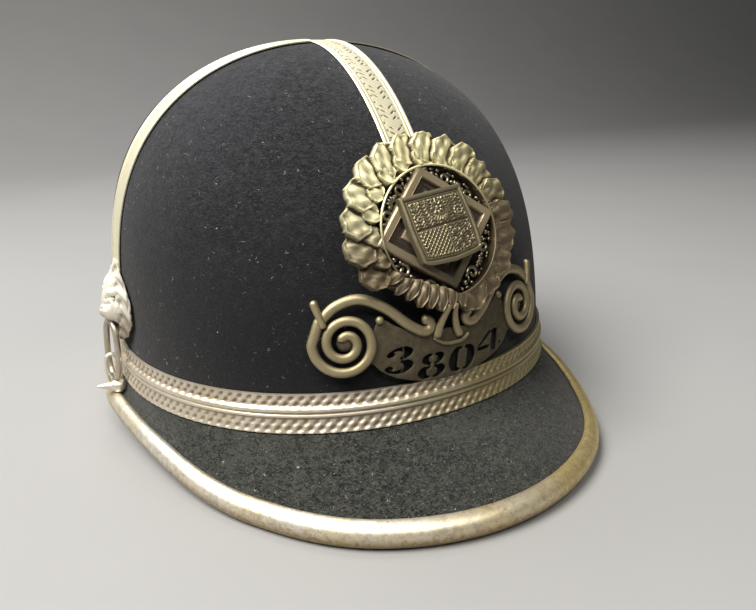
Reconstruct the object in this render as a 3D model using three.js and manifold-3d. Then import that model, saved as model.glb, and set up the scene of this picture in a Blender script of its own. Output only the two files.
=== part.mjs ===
// Felt police helmet with nickel-silver trim, in millimetres.
// +Z is up, -Y is the front, and the origin is the middle of the footprint on the resting plane.
import * as THREE from "three";
import { mergeVertices } from "three/addons/utils/BufferGeometryUtils.js";
import Module from "manifold-3d";

const wasm = await Module();
wasm.setup();

// ---- driving dimensions ------------------------------------------------------------------

const GAP = 0.35; // clearance that touching pieces keep
const DEGREES = Math.PI / 180;

// Plan of the crown: a rounded oval, wider powers being squarer.
const PLAN = { halfWidth: 94, front: 100.6, rear: 111, frontPower: 2.12, rearPower: 1.83 };

// Crown profile: how the plan shrinks from the band (0) to the top (1), by direction.
const PROFILE = {
  front: { shoulder: 1.64, roundness: 2.2 },
  side: { shoulder: 3.2, roundness: 2.03 },
  rear: { shoulder: 2.49, roundness: 2.21 },
};
const CROWN = { height: 118.3, topShift: 2.7, wall: 2.5, flare: 1.6, stations: 48, elevationStep: 10 };

// Hat band: height and lift above the resting plane, with a rise at the front.
const BAND = { base: 22.8, height: 14, frontRise: 1.8, thickness: 0.95, reach: 2.9 };
const BAND_RELIEF = [
  { level: 0, relief: 0 },
  { level: 0.36, relief: 0 },
  { level: 0.45, relief: 0.9 },
  { level: 0.58, relief: 0.9 },
  { level: 0.66, relief: 0 },
  { level: 1, relief: 0 },
];

// Peak rims, from the middle (0) to the side (90): the rolled rim's centre beyond the band, its drop and radius.
const RIM = { radius: 4.8, sideRadius: 4, wall: 0.9, angles: [176, 214, 255, 285, 330, 15, 60, 106] };
const FLOOR_DROP = BAND.base + RIM.radius * Math.sin(255 * DEGREES);
const FRONT_RIM = [
  { angle: 0, reach: 35.8, drop: FLOOR_DROP, radius: RIM.radius },
  { angle: 20, reach: 30.1, drop: FLOOR_DROP, radius: RIM.radius },
  { angle: 40, reach: 16.3, drop: FLOOR_DROP, radius: RIM.radius },
  { angle: 60, reach: 5.9, drop: 14.2, radius: 4.4 },
  { angle: 75, reach: 3.2, drop: 11.8, radius: RIM.sideRadius },
  { angle: 90, reach: 4.1, drop: 9.6, radius: RIM.sideRadius },
];
const REAR_RIM = [
  { angle: 0, reach: PLAN.front + FRONT_RIM[0].reach - PLAN.rear, drop: FLOOR_DROP, radius: RIM.radius },
  { angle: 20, reach: 21.6, drop: FLOOR_DROP, radius: RIM.radius },
  { angle: 40, reach: 12.6, drop: FLOOR_DROP, radius: RIM.radius },
  { angle: 60, reach: 5.8, drop: 14.4, radius: 4.4 },
  { angle: 75, reach: 3.4, drop: 11.8, radius: RIM.sideRadius },
  { angle: 90, reach: 4.1, drop: 9.6, radius: RIM.sideRadius },
];
const PEAK = { felt: 2.3, root: 3.4, entry: 120, slope: -38, inside: 2.4, steps: 24, seam: 0.12 };

// Metal strips over the crown.
const STRIP = { width: 14.1, lift: 0.55, thickness: 0.6, bead: 0.35, frontEnd: 62, sideEnd: 42, sideY: -3.5, sideDrift: -3.2 };

// Badge on the crown's front: height of its centre above the band, its stand-off, lean and turn.
const BADGE = { height: 64.85, standOff: 6.8, lean: 22.3, turn: 6.3, wreathRise: 2.5 };
const WREATH = { leaves: 18, inner: 24.1, outer: 32.3, tip: 1.9, back: -5, stepsPerLeaf: 4 };
const GROUND = { radius: 23.6, back: -4.8, front: -4 };
const STAR = [
  { reach: 23.2, level: -3.65 },
  { reach: 23.5, level: -0.7 },
  { reach: 22.8, level: 0 },
  { reach: 19.4, level: 0 },
  { reach: 18.3, level: -1.6 },
  { reach: 15.2, level: -1.6 },
  { reach: 14.4, level: -0.5 },
];
const SHIELD = { halfWidth: 13.2, top: 13.5, bottom: -11, taper: 0.95 };
const SHIELD_RELIEF = [
  { share: 1, level: 0.3 },
  { share: 1, level: 1.9 },
  { share: 0.97, level: 2.3 },
  { share: 0.91, level: 1.7 },
  { share: 0.5, level: 2.4 },
  { share: 0.06, level: 2.6 },
];

// Number plate under the badge, laid out flat: across the crown, and up from the band's lower edge.
const PLATE = { bendRadius: 98, lift: 1.7, thickness: 1, columns: 18 };
const PLATE_EDGE = [
  { across: 0, top: 30.6, bottom: 15.6 },
  { across: 10, top: 31.6, bottom: 16.2 },
  { across: 20, top: 37, bottom: 19 },
  { across: 25.4, top: 39.6, bottom: 22 },
  { across: 29.4, top: 33, bottom: 25.6 },
];
const SCROLL = { rod: 1.45, lift: 3.1, centre: [-37, 33], pitch: 4.8, outer: 10.9, turns: 1.95, sides: 6 };
const SCROLL_BEND = [
  { across: -7.1, up: 36.2 },
  { across: -7.7, up: 34.1 },
  { across: -10, up: 33.4 },
  { across: -16.5, up: 37.6 },
  { across: -23.2, up: 43.2 },
  { across: -31.6, up: 46.8 },
  { across: -39.6, up: 45.2 },
  { across: -45.4, up: 40.4 },
];
const PIN = { from: [-45.7, 47.8], to: [-42.6, 39.4], radius: 1.1, lift: 4.1 };

// Stencilled number: arcs and bars of each figure, in a box about 8 wide and 10 high, leaning to the right.
const FIGURE = { width: 1.9, lean: 0.2, centres: [[-18.8, 26], [-6.6, 23.2], [6, 23.2], [18.2, 26]] };
const FIGURE_STROKES = [
  [
    { arc: [0, 2.3], radii: [2.7, 2.2], from: 165, to: -62 },
    { arc: [0, -2.3], radii: [3, 2.4], from: 62, to: -165 },
  ],
  [
    { arc: [0, 2.5], radii: [2.3, 1.9], from: 72, to: -72 },
    { arc: [0, 2.5], radii: [2.3, 1.9], from: 108, to: 252 },
    { arc: [0, -2.2], radii: [3, 2.3], from: 72, to: -72 },
    { arc: [0, -2.2], radii: [3, 2.3], from: 108, to: 252 },
  ],
  [
    { arc: [0, 0], radii: [3.1, 4.2], from: 78, to: -78 },
    { arc: [0, 0], radii: [3.1, 4.2], from: 102, to: 258 },
  ],
  [
    { bar: [[0.2, 4.4], [-3.2, -0.6]] },
    { bar: [[-3.2, -2.2], [0.6, -2.2]] },
    { bar: [[2.2, 3.2], [2.2, -4.8]] },
  ],
];

// Lion bosses, rings, links and lugs at the two sides.
const BOSS = { lift: 1.9, thickness: 1, y: -3.5 };
const BOSS_OUTLINE = [
  { up: 17.5, half: 6 },
  { up: 20, half: 12 },
  { up: 28, half: 15 },
  { up: 36, half: 12.6 },
  { up: 44, half: 6.8 },
  { up: 51, half: 0.7 },
];
const MASK = [
  { out: 95.5, up: 33, radii: [5.5, 10, 11] },
  { out: 99.2, up: 30.2, radii: [4, 5.2, 4.6] },
  { out: 96.4, up: 39.4, radii: [3.7, 7.6, 3.4] },
  { out: 97.4, up: 23.6, radii: [3.2, 4.6, 3.2] },
];
const RING = { wire: 1.2, half: [6.3, 12.2], middle: 13.6, topOut: 99.6, bottomOut: 101.2 };
const LINK = { wire: 0.9, half: [2.6, 6.9], middle: 4.3, out: 101.2 };
const LUG = { out: 100.2, up: -2.7, radii: [2.7, 3.2, 2.55] };
const SPUR = { from: 101, to: 107.6, up: -4, radius: 1 };

// ---- materials -----------------------------------------------------------------------------

const FELT = new THREE.MeshStandardMaterial({ color: 0x232325, roughness: 0.98, metalness: 0 });
const NICKEL = new THREE.MeshStandardMaterial({ color: 0xcfc8ac, roughness: 0.35, metalness: 1 });
const GILT = new THREE.MeshStandardMaterial({ color: 0xa39468, roughness: 0.45, metalness: 1 });
const PEWTER = new THREE.MeshStandardMaterial({ color: 0x7b705c, roughness: 0.5, metalness: 1 });

// ---- meshes and solids ---------------------------------------------------------------------

function geometryFrom(points, triangles) {
  const geometry = new THREE.BufferGeometry().setFromPoints(points);
  geometry.setIndex(triangles.flat());
  geometry.computeVertexNormals();
  return geometry;
}

function signedVolume(points, triangles) {
  const across = new THREE.Vector3();
  const sixths = triangles.map(([a, b, c]) => points[a].dot(across.crossVectors(points[b], points[c])));
  return sixths.reduce((sum, part) => sum + part, 0) / 6;
}

// A closed skin through rings of equally many points. An open run is closed at both ends by
// rungs between the ring's two halves, and a ring of one point is a pole.
function loft(rings, { loop = false } = {}) {
  const points = rings.flat();
  const starts = rings.map((_, i) => rings.slice(0, i).reduce((sum, ring) => sum + ring.length, 0));
  const triangles = [];
  const size = Math.max(...rings.map((ring) => ring.length));
  const at = (i, j) => starts[i] + (rings[i].length === 1 ? 0 : j % size);
  const add = (a, b, c) => {
    if (a !== b && b !== c && c !== a) triangles.push([a, b, c]);
  };
  const last = loop ? rings.length : rings.length - 1;
  for (let i = 0; i < last; i++) {
    const next = (i + 1) % rings.length;
    for (let j = 0; j < size; j++) {
      add(at(i, j), at(i, j + 1), at(next, j + 1));
      add(at(i, j), at(next, j + 1), at(next, j));
    }
  }
  const cap = (i, flip) => {
    for (let j = 0; j < size / 2 - 1; j++) {
      const [a, b, c, d] = [at(i, j), at(i, j + 1), at(i, size - 2 - j), at(i, size - 1 - j)];
      add(...(flip ? [a, b, c] : [c, b, a]));
      add(...(flip ? [a, c, d] : [d, c, a]));
    }
  };
  if (!loop) {
    if (rings[0].length > 1) cap(0, false);
    if (rings.at(-1).length > 1) cap(rings.length - 1, true);
  }
  const outward = signedVolume(points, triangles) > 0;
  return geometryFrom(points, outward ? triangles : triangles.map(([a, b, c]) => [a, c, b]));
}

function solidOf(geometry) {
  const bare = new THREE.BufferGeometry().setAttribute("position", geometry.getAttribute("position"));
  bare.setIndex(geometry.getIndex());
  const merged = mergeVertices(bare, 1e-4);
  const vertProperties = merged.getAttribute("position").array;
  const triVerts = new Uint32Array(merged.getIndex().array);
  return new wasm.Manifold(new wasm.Mesh({ numProp: 3, vertProperties, triVerts }));
}

function geometryOf(solid) {
  const mesh = solid.getMesh();
  const geometry = new THREE.BufferGeometry();
  geometry.setAttribute("position", new THREE.BufferAttribute(mesh.vertProperties, 3));
  geometry.setIndex(new THREE.BufferAttribute(mesh.triVerts, 1));
  geometry.computeVertexNormals();
  return geometry;
}

const joined = (geometries) => geometryOf(geometries.map(solidOf).reduce((a, b) => a.add(b)));
const cut = (geometry, tools) => geometryOf(tools.map(solidOf).reduce((a, b) => a.subtract(b), solidOf(geometry)));

function part(name, geometry, material) {
  const mesh = new THREE.Mesh(geometry, material);
  mesh.name = name;
  return mesh;
}

const steps = (count, fn) => Array.from({ length: count + 1 }, (_, i) => fn(i / count, i));

// A smooth curve through one column of a table, flat at both ends.
function column(table, key, value) {
  const knots = table.map((row) => row[key]);
  const curve = new THREE.CubicInterpolant(knots, table.map((row) => row[value]), 1, [0]);
  curve.settings = { endingStart: THREE.ZeroSlopeEnding, endingEnd: THREE.ZeroSlopeEnding };
  return (at) => curve.evaluate(Math.min(Math.max(at, knots[0]), knots.at(-1)))[0];
}

// ---- crown surface -------------------------------------------------------------------------

// Distance from the middle to the crown's wall, by direction: 0 is the front, +90 the +X side.
function planRadius(turn) {
  const ahead = Math.cos(turn) >= 0;
  const power = ahead ? PLAN.frontPower : PLAN.rearPower;
  const length = ahead ? PLAN.front : PLAN.rear;
  const sum = Math.abs(Math.sin(turn) / PLAN.halfWidth) ** power + Math.abs(Math.cos(turn) / length) ** power;
  return sum ** (-1 / power);
}

const bandRise = (turn) => (Math.cos(turn) > 0 ? BAND.frontRise * Math.cos(turn) ** 2 : 0);
const bandFoot = (turn) => BAND.base + bandRise(turn);
const flareAt = (level) => CROWN.flare * (1 - Math.min(level, 1)) ** 2;

// Wall distance at a height: the flared foot under the band, then the dome.
function wallRadius(turn, z) {
  const share = Math.max(0, (z - BAND.base - BAND.height) / CROWN.height);
  if (share === 0) return planRadius(turn) + flareAt((z - BAND.base) / BAND.height);
  if (share >= 1) return 0;
  const shrink = ({ shoulder, roundness }) => (1 - share ** shoulder) ** (1 / roundness);
  const lengthwise = Math.cos(turn) ** 2;
  const ends = Math.cos(turn) >= 0 ? PROFILE.front : PROFILE.rear;
  return planRadius(turn) * (shrink(ends) * lengthwise + shrink(PROFILE.side) * (1 - lengthwise));
}

function insideCrown({ x, y, z }) {
  const share = Math.max(0, (z - BAND.base - BAND.height) / CROWN.height);
  const back = y - CROWN.topShift * share ** 2;
  return Math.hypot(x, back) < wallRadius(Math.atan2(x, -back), z);
}

// Where a ray from inside the crown leaves it.
function crownExit(origin, direction) {
  const at = (reach) => origin.clone().addScaledVector(direction, reach);
  let [near, far] = [0, 260];
  for (let i = 0; i < 40; i++) {
    const middle = (near + far) / 2;
    if (insideCrown(at(middle))) near = middle;
    else far = middle;
  }
  return at(near);
}

// A point on the ray's exit, moved out from the surface by lift.
function onCrown(origin, direction, lift) {
  const here = crownExit(origin, direction);
  const aside = new THREE.Vector3(direction.z, direction.x, direction.y).cross(direction).normalize();
  const above = new THREE.Vector3().crossVectors(direction, aside);
  const nearby = (axis, share) => crownExit(origin, direction.clone().addScaledVector(axis, share).normalize());
  const span = (axis) => nearby(axis, 0.01).sub(nearby(axis, -0.01));
  const normal = span(aside).cross(span(above)).normalize();
  if (normal.dot(direction) < 0) normal.negate();
  return here.addScaledVector(normal, lift);
}

// ---- felt ----------------------------------------------------------------------------------

function crown() {
  const turns = Array.from({ length: CROWN.stations }, (_, i) => (2 * Math.PI * i) / CROWN.stations);
  const heading = (turn, rise) =>
    new THREE.Vector3(Math.sin(turn) * Math.cos(rise), -Math.cos(turn) * Math.cos(rise), Math.sin(rise));
  const wall = (level, inset) =>
    turns.map((turn) => {
      const z = THREE.MathUtils.lerp(bandFoot(turn), BAND.base + BAND.height, level);
      return heading(turn, 0).multiplyScalar(wallRadius(turn, z) - inset).setZ(z);
    });
  const spring = new THREE.Vector3(0, 0, BAND.base + BAND.height);
  const dome = (rise, inset) => turns.map((turn) => onCrown(spring, heading(turn, rise), -inset));
  const rises = steps(90 / CROWN.elevationStep - 2, (_, i) => (i + 1) * CROWN.elevationStep * DEGREES);
  const side = (inset) => [
    wall(0, inset),
    wall(0.5, inset),
    wall(1, inset),
    ...rises.map((rise) => dome(rise, inset)),
    [crownExit(spring, new THREE.Vector3(0, 0, 1)).setZ(spring.z + CROWN.height - inset)],
  ];
  return part("crown", loft([...side(CROWN.wall).reverse(), ...side(0)]), FELT);
}

// Rim centre at a direction, in the vertical plane through it: distance from the middle, and height.
function rimSection(table, turn) {
  const away = Math.abs(turn) / DEGREES;
  const fromEnd = away > 90 ? Math.abs(180 - away) : away;
  const out = planRadius(turn) + BAND.reach + column(table, "angle", "reach")(fromEnd);
  const drop = Math.min(column(table, "angle", "drop")(fromEnd), FLOOR_DROP);
  const radius = Math.min(column(table, "angle", "radius")(fromEnd), RIM.radius);
  return { centre: new THREE.Vector2(out, BAND.base - drop), radius };
}

const upright = (turn, { x, y }) => new THREE.Vector3(Math.sin(turn) * x, -Math.cos(turn) * x, y);
const polar = (angle) => new THREE.Vector2(Math.cos(angle * DEGREES), Math.sin(angle * DEGREES));

// Directions of one peak's stations, from side to side about its middle.
function peakTurns(middle) {
  const half = (90 - PEAK.seam) * DEGREES;
  return steps(PEAK.steps, (share) => middle + THREE.MathUtils.lerp(-half, half, share));
}

// Felt peak: flat under the band, then a curve down into the rolled rim.
function peak(name, table, middle) {
  const sections = peakTurns(middle).map((turn) => {
    const { centre, radius } = rimSection(table, turn);
    const inward = polar(PEAK.slope);
    const entry = centre.clone().addScaledVector(polar(PEAK.entry), radius);
    const edge = new THREE.Vector2(planRadius(turn) + BAND.reach - 0.4, bandFoot(turn) - GAP);
    const root = edge.clone().sub(new THREE.Vector2(PEAK.root, 0));
    const run = edge.distanceTo(entry) / 3;
    const leave = entry.clone().sub(edge).normalize();
    const curve = new THREE.CubicBezierCurve(
      edge,
      edge.clone().addScaledVector(leave, run),
      entry.clone().addScaledVector(inward, -run),
      entry,
    );
    const top = [root, ...curve.getPoints(4), entry.clone().addScaledVector(inward, PEAK.inside)];
    const bottom = top.map((point, i) => {
      const along = top[Math.min(i + 1, top.length - 1)].clone().sub(top[Math.max(i - 1, 0)]).normalize();
      const down = new THREE.Vector2(along.y, -along.x);
      return point.clone().addScaledVector(down, PEAK.felt);
    });
    return [...top, ...bottom.reverse()].map((point) => upright(turn, point));
  });
  return part(name, loft(sections), FELT);
}

// ---- trim ----------------------------------------------------------------------------------

// Rolled rim: an open roll that holds the felt's edge, with a flat on its underside.
function rim(name, table, middle) {
  const sections = peakTurns(middle).map((turn) => {
    const { centre, radius } = rimSection(table, turn);
    const arc = (size) => RIM.angles.map((angle) => centre.clone().addScaledVector(polar(angle), size));
    return [...arc(radius), ...arc(radius - RIM.wall).reverse()].map((point) => upright(turn, point));
  });
  return part(name, loft(sections), NICKEL);
}

function hatBand() {
  const sections = Array.from({ length: CROWN.stations }, (_, i) => {
    const turn = (2 * Math.PI * i) / CROWN.stations;
    const foot = bandFoot(turn);
    const face = (relief, level) => {
      const out = planRadius(turn) + flareAt(level) + GAP + BAND.thickness + relief;
      return upright(turn, new THREE.Vector2(out, foot + level * BAND.height));
    };
    const front = BAND_RELIEF.map(({ level, relief }) => face(relief, level));
    const back = BAND_RELIEF.map(({ level }) => face(-BAND.thickness, level));
    return [...front, ...back.reverse()];
  });
  return part("hat_band", loft(sections, { loop: true }), NICKEL);
}

// Strip laid on the crown: for each heading, points across it are thrown out from the middle plane.
function strip(name, headings, originAt) {
  const across = [-0.5, -0.34, 0, 0.34, 0.5].map((share) => share * STRIP.width);
  const height = (offset) => STRIP.thickness + (Math.abs(offset) > 0.33 * STRIP.width ? STRIP.bead : 0);
  const sections = headings.map((heading) => {
    const layer = (lift) => across.map((offset) => onCrown(originAt(heading, offset), heading, lift(offset)));
    return [...layer((offset) => STRIP.lift + height(offset)), ...layer(() => STRIP.lift).reverse()];
  });
  return part(name, loft(sections), NICKEL);
}

// Lengthwise strip, from behind the badge over the top to the rear of the hat band.
function lengthwiseStrip() {
  const middle = BAND.base + 40;
  const toFront = Math.atan2(STRIP.frontEnd + BAND.base - middle, PLAN.front);
  const toRear = Math.PI - Math.atan2(BAND.base + BAND.height + 1 - middle, PLAN.rear);
  const headings = steps(24, (share) => {
    const angle = THREE.MathUtils.lerp(toFront, toRear, share);
    return new THREE.Vector3(0, -Math.cos(angle), Math.sin(angle));
  });
  return strip("strip_lengthwise", headings, (_, offset) => new THREE.Vector3(offset, 0, middle));
}

// Side strip, from behind the lion boss up to the lengthwise strip.
function sideStrip(name, side) {
  const middle = BAND.base + 40;
  const start = Math.atan2(BAND.base + STRIP.sideEnd - middle, PLAN.halfWidth);
  const clear = STRIP.width / 2 + GAP + 0.1;
  const end = Math.PI / 2 - Math.atan2(clear, BAND.base + BAND.height + CROWN.height - middle);
  const headings = steps(10, (share) => {
    const angle = THREE.MathUtils.lerp(start, end, share);
    return new THREE.Vector3(side * Math.cos(angle), 0, Math.sin(angle));
  });
  const place = (heading, offset) =>
    new THREE.Vector3(0, STRIP.sideY + STRIP.sideDrift * heading.z + offset, middle);
  return strip(name, headings, place);
}

// ---- badge ---------------------------------------------------------------------------------

// Wreath of cupped leaves: each leaf swells the ring's outline and its crest.
function wreath() {
  const count = WREATH.leaves * WREATH.stepsPerLeaf;
  const sections = Array.from({ length: count }, (_, i) => {
    const angle = (360 * i) / count;
    const swell = Math.sin((Math.PI * (i % WREATH.stepsPerLeaf)) / WREATH.stepsPerLeaf) ** 0.7;
    const tip = WREATH.outer + WREATH.tip * swell;
    const top = [
      [WREATH.inner, -4],
      [WREATH.inner + 2.4, -2.2 + 0.6 * swell],
      [WREATH.inner + 5.4, -1.8 + swell],
      [tip, -4.1 + 0.4 * swell],
    ];
    const ring = [...top, ...top.map(([reach]) => [reach, WREATH.back]).reverse()];
    return ring.map(([reach, level]) => {
      const { x, y } = polar(angle).multiplyScalar(reach);
      return new THREE.Vector3(x, y + BADGE.wreathRise, level);
    });
  });
  const leaves = loft(sections, { loop: true });
  const stem = (side) => {
    const bar = new THREE.CylinderGeometry(1.5, 1.1, 10, 6);
    bar.rotateZ(side * 24 * DEGREES);
    return bar.translate(side * 3.4, BADGE.wreathRise - 31.5, -2.9);
  };
  const whole = joined([leaves, stem(-1), stem(1)]);
  return part("wreath", cut(whole, [starPocket()]), GILT);
}

// Room for the star's lowest corner, which lies between two leaves.
function starPocket() {
  const side = (STAR[1].reach + 0.4) * Math.SQRT2;
  const block = new THREE.BoxGeometry(side, side, 2 * -WREATH.back + 2);
  return block.rotateZ((45 + BADGE.turn) * DEGREES);
}

function ground() {
  const disc = new THREE.CylinderGeometry(GROUND.radius, GROUND.radius, GROUND.front - GROUND.back, 40);
  disc.rotateX(Math.PI / 2);
  return part("badge_ground", disc.translate(0, BADGE.wreathRise, (GROUND.front + GROUND.back) / 2), PEWTER);
}

// Stepped lozenge frame behind the shield.
function star() {
  const rings = STAR.map(({ reach, level }) =>
    [0, 90, 180, 270].map((angle) => {
      const { x, y } = polar(angle).multiplyScalar(reach);
      return new THREE.Vector3(x, y, level);
    }),
  );
  return part("star", loft(rings), GILT);
}

// Domed shield with a raised edge: straight top, sides that draw in, rounded lower corners.
function shield() {
  const { halfWidth, top, bottom, taper } = SHIELD;
  const outline = new THREE.Shape();
  const foot = halfWidth * taper;
  outline.moveTo(-halfWidth, top);
  outline.lineTo(halfWidth, top);
  outline.lineTo(foot, bottom + 5);
  outline.quadraticCurveTo(foot, bottom, foot - 5, bottom);
  outline.lineTo(0, bottom - 1);
  outline.lineTo(5 - foot, bottom);
  outline.quadraticCurveTo(-foot, bottom, -foot, bottom + 5);
  const points = outline.getPoints(4);
  if (points.length % 2) points.pop();
  const rings = SHIELD_RELIEF.map(({ share, level }) =>
    points.map(({ x, y }) => new THREE.Vector3(x * share, y * share, level)),
  );
  return part("shield", loft(rings), PEWTER);
}

function badge() {
  const lean = BADGE.lean * DEGREES;
  const right = new THREE.Vector3(1, 0, 0);
  const up = new THREE.Vector3(0, Math.sin(lean), Math.cos(lean));
  const out = new THREE.Vector3(0, -Math.cos(lean), Math.sin(lean));
  const seat = crownExit(new THREE.Vector3(0, 0, BAND.base + BADGE.height), new THREE.Vector3(0, -1, 0));
  const group = new THREE.Group();
  group.applyMatrix4(new THREE.Matrix4().makeBasis(right, up, out));
  group.position.copy(seat).addScaledVector(out, BADGE.standOff);
  const face = new THREE.Group();
  face.rotation.z = BADGE.turn * DEGREES;
  face.add(star(), shield());
  group.add(wreath(), ground(), face);
  return group;
}

// ---- number plate --------------------------------------------------------------------------

// From the plate's flat layout to the crown.
function plateOnCrown(across, up, lift) {
  const turn = across / PLATE.bendRadius;
  return onCrown(new THREE.Vector3(0, 0, BAND.base + up), upright(turn, { x: 1, y: 0 }), lift);
}

// A closed bar along a route in the layout: its section is a list of offsets aside and out.
function layoutBar(route, section) {
  const sections = route.map(([across, up], i) => {
    const [before, after] = [route[Math.max(i - 1, 0)], route[Math.min(i + 1, route.length - 1)]];
    const along = new THREE.Vector2(after[0] - before[0], after[1] - before[1]).normalize();
    return section(i / (route.length - 1)).map(([aside, lift]) =>
      plateOnCrown(across - along.y * aside, up + along.x * aside, lift),
    );
  });
  return loft(sections);
}

function roundBar(route, lift, radiusAt) {
  const angles = Array.from({ length: SCROLL.sides }, (_, i) => (360 * i) / SCROLL.sides);
  return layoutBar(route, (share) =>
    angles.map((angle) => polar(angle).multiplyScalar(radiusAt(share)).toArray()).map(([x, y]) => [x, lift + y]),
  );
}

// One scroll: a hook near the middle, an arch over the plate, then a coil.
function scroll(side) {
  const bend = new THREE.CatmullRomCurve3(
    SCROLL_BEND.map(({ across, up }) => new THREE.Vector3(across, up, 0)),
  ).getPoints(15);
  const coil = steps(27, (share) => {
    const angle = Math.PI + share * SCROLL.turns * 2 * Math.PI;
    const reach = SCROLL.outer - share * SCROLL.turns * SCROLL.pitch;
    return [SCROLL.centre[0] + reach * Math.cos(angle), SCROLL.centre[1] + reach * Math.sin(angle)];
  });
  const route = [...bend.map(({ x, y }) => [x, y]), ...coil].map(([across, up]) => [-side * across, up]);
  return roundBar(route, SCROLL.lift, () => SCROLL.rod);
}

function pin(side) {
  const route = [PIN.from, PIN.to].map(([across, up]) => [-side * across, up]);
  return roundBar(route, PIN.lift, () => PIN.radius);
}

// Routes of one figure's strokes in the layout.
function figureRoutes(strokes, [across, up]) {
  const place = (x, y) => [across + x + FIGURE.lean * y, up + y];
  return strokes.map(({ arc, radii, from, to, bar }) => {
    if (bar) return bar.map(([x, y]) => place(x, y));
    return steps(6, (share) => {
      const { x, y } = polar(THREE.MathUtils.lerp(from, to, share));
      return place(arc[0] + radii[0] * x, arc[1] + radii[1] * y);
    });
  });
}

function numberPlate() {
  const topAt = column(PLATE_EDGE, "across", "top");
  const bottomAt = column(PLATE_EDGE, "across", "bottom");
  const half = PLATE_EDGE.at(-1).across;
  const front = PLATE.lift + PLATE.thickness;
  const sections = steps(PLATE.columns, (share) => {
    const across = THREE.MathUtils.lerp(-half, half, share);
    const [top, bottom] = [topAt(Math.abs(across)), bottomAt(Math.abs(across))];
    const corners = [[top, front], [bottom, front], [bottom, PLATE.lift], [top, PLATE.lift]];
    return corners.map(([up, lift]) => plateOnCrown(across, up, lift));
  });
  const width = FIGURE.width / 2;
  const slot = () => [[-width, front + 2], [width, front + 2], [width, 0.4], [-width, 0.4]];
  const slots = FIGURE_STROKES.flatMap((strokes, i) => figureRoutes(strokes, FIGURE.centres[i]));
  const plate = cut(loft(sections), slots.map((route) => layoutBar(route, slot)));
  const scrolls = [-1, 1].flatMap((side) => [scroll(side), pin(side)]);
  return part("number_plate", joined([plate, ...scrolls]), PEWTER);
}

// ---- sides ---------------------------------------------------------------------------------

// A wire along a closed route in a plane.
function wireLoop(pointAt, planeNormal, wire, count) {
  const sections = Array.from({ length: count }, (_, i) => {
    const [before, here, after] = [-0.01, 0, 0.01].map((shift) => pointAt((2 * Math.PI * (i + shift)) / count));
    const aside = after.sub(before).normalize().cross(planeNormal);
    return [0, 60, 120, 180, 240, 300].map((angle) => {
      const { x, y } = polar(angle).multiplyScalar(wire);
      return here.clone().addScaledVector(aside, x).addScaledVector(planeNormal, y);
    });
  });
  return loft(sections, { loop: true });
}

const oval = (value) => Math.sign(value) * Math.abs(value) ** 0.8;

// Oval ring that hangs from the lion's mouth, flat against the band.
function ringShape(side, wire) {
  const slope = (RING.bottomOut - RING.topOut) / (2 * RING.half[1]);
  const middleOut = (RING.topOut + RING.bottomOut) / 2;
  const normal = new THREE.Vector3(side, 0, slope).normalize();
  const pointAt = (angle) => {
    const up = RING.half[1] * oval(Math.sin(angle));
    const along = RING.half[0] * oval(Math.cos(angle));
    return new THREE.Vector3(side * (middleOut - slope * up), BOSS.y + along, BAND.base + RING.middle + up);
  };
  return wireLoop(pointAt, normal, wire, 24);
}

// Narrow link between the ring and the lug, edge on to the helmet.
function linkShape(side, wire) {
  const pointAt = (angle) => {
    const out = LINK.out + LINK.half[0] * oval(Math.cos(angle));
    const up = BAND.base + LINK.middle + LINK.half[1] * oval(Math.sin(angle));
    return new THREE.Vector3(side * out, BOSS.y, up);
  };
  return wireLoop(pointAt, new THREE.Vector3(0, 1, 0), wire, 20);
}

function ball(side, { out, up, radii }, width, height) {
  const sphere = new THREE.SphereGeometry(1, width, height);
  sphere.scale(...radii);
  return sphere.translate(side * out, BOSS.y, BAND.base + up);
}

// Leaf-shaped back plate that follows the crown over the side strip.
function leafPlate(side) {
  const sections = BOSS_OUTLINE.map(({ up, half }) => {
    const layer = (lift) =>
      [-1, -0.5, 0, 0.5, 1].map((share) => {
        const origin = new THREE.Vector3(0, BOSS.y + share * half, BAND.base + up);
        return onCrown(origin, new THREE.Vector3(side, 0, 0), lift);
      });
    return [...layer(BOSS.lift + BOSS.thickness), ...layer(BOSS.lift).reverse()];
  });
  return loft(sections);
}

function boss(name, side) {
  const mask = MASK.map((lobe) => ball(side, lobe, 10, 7));
  const inner = cut(joined([leafPlate(side), ...mask]), [seatTool(side)]);
  return part(name, cut(inner, [ringShape(side, RING.wire + GAP)]), NICKEL);
}

// Everything nearer the crown than the boss's back: a thick slab that trims the mask.
function seatTool(side) {
  const ups = [14, 22, 30, 38, 46, 54];
  const sections = ups.map((up) => {
    const layer = (lift) =>
      [-18, -9, 0, 9, 18].map((offset) => {
        const origin = new THREE.Vector3(0, BOSS.y + offset, BAND.base + up);
        return onCrown(origin, new THREE.Vector3(side, 0, 0), lift);
      });
    return [...layer(BOSS.lift - 0.1), ...layer(-12).reverse()];
  });
  return loft(sections);
}

function lug(name, side) {
  const spur = new THREE.ConeGeometry(SPUR.radius, SPUR.to - SPUR.from, 8);
  spur.rotateZ(-side * 90 * DEGREES);
  spur.translate((side * (SPUR.from + SPUR.to)) / 2, BOSS.y, BAND.base + SPUR.up);
  const body = joined([ball(side, LUG, 12, 8), spur]);
  return part(name, cut(body, [linkShape(side, LINK.wire + GAP)]), NICKEL);
}

function sideFittings(label, side) {
  const group = new THREE.Group();
  group.add(
    sideStrip("strip_" + label, side),
    boss("lion_boss_" + label, side),
    part("mouth_ring_" + label, ringShape(side, RING.wire), NICKEL),
    part("link_" + label, linkShape(side, LINK.wire), NICKEL),
    lug("rim_lug_" + label, side),
  );
  return group;
}

// ---- helmet --------------------------------------------------------------------------------

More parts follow.
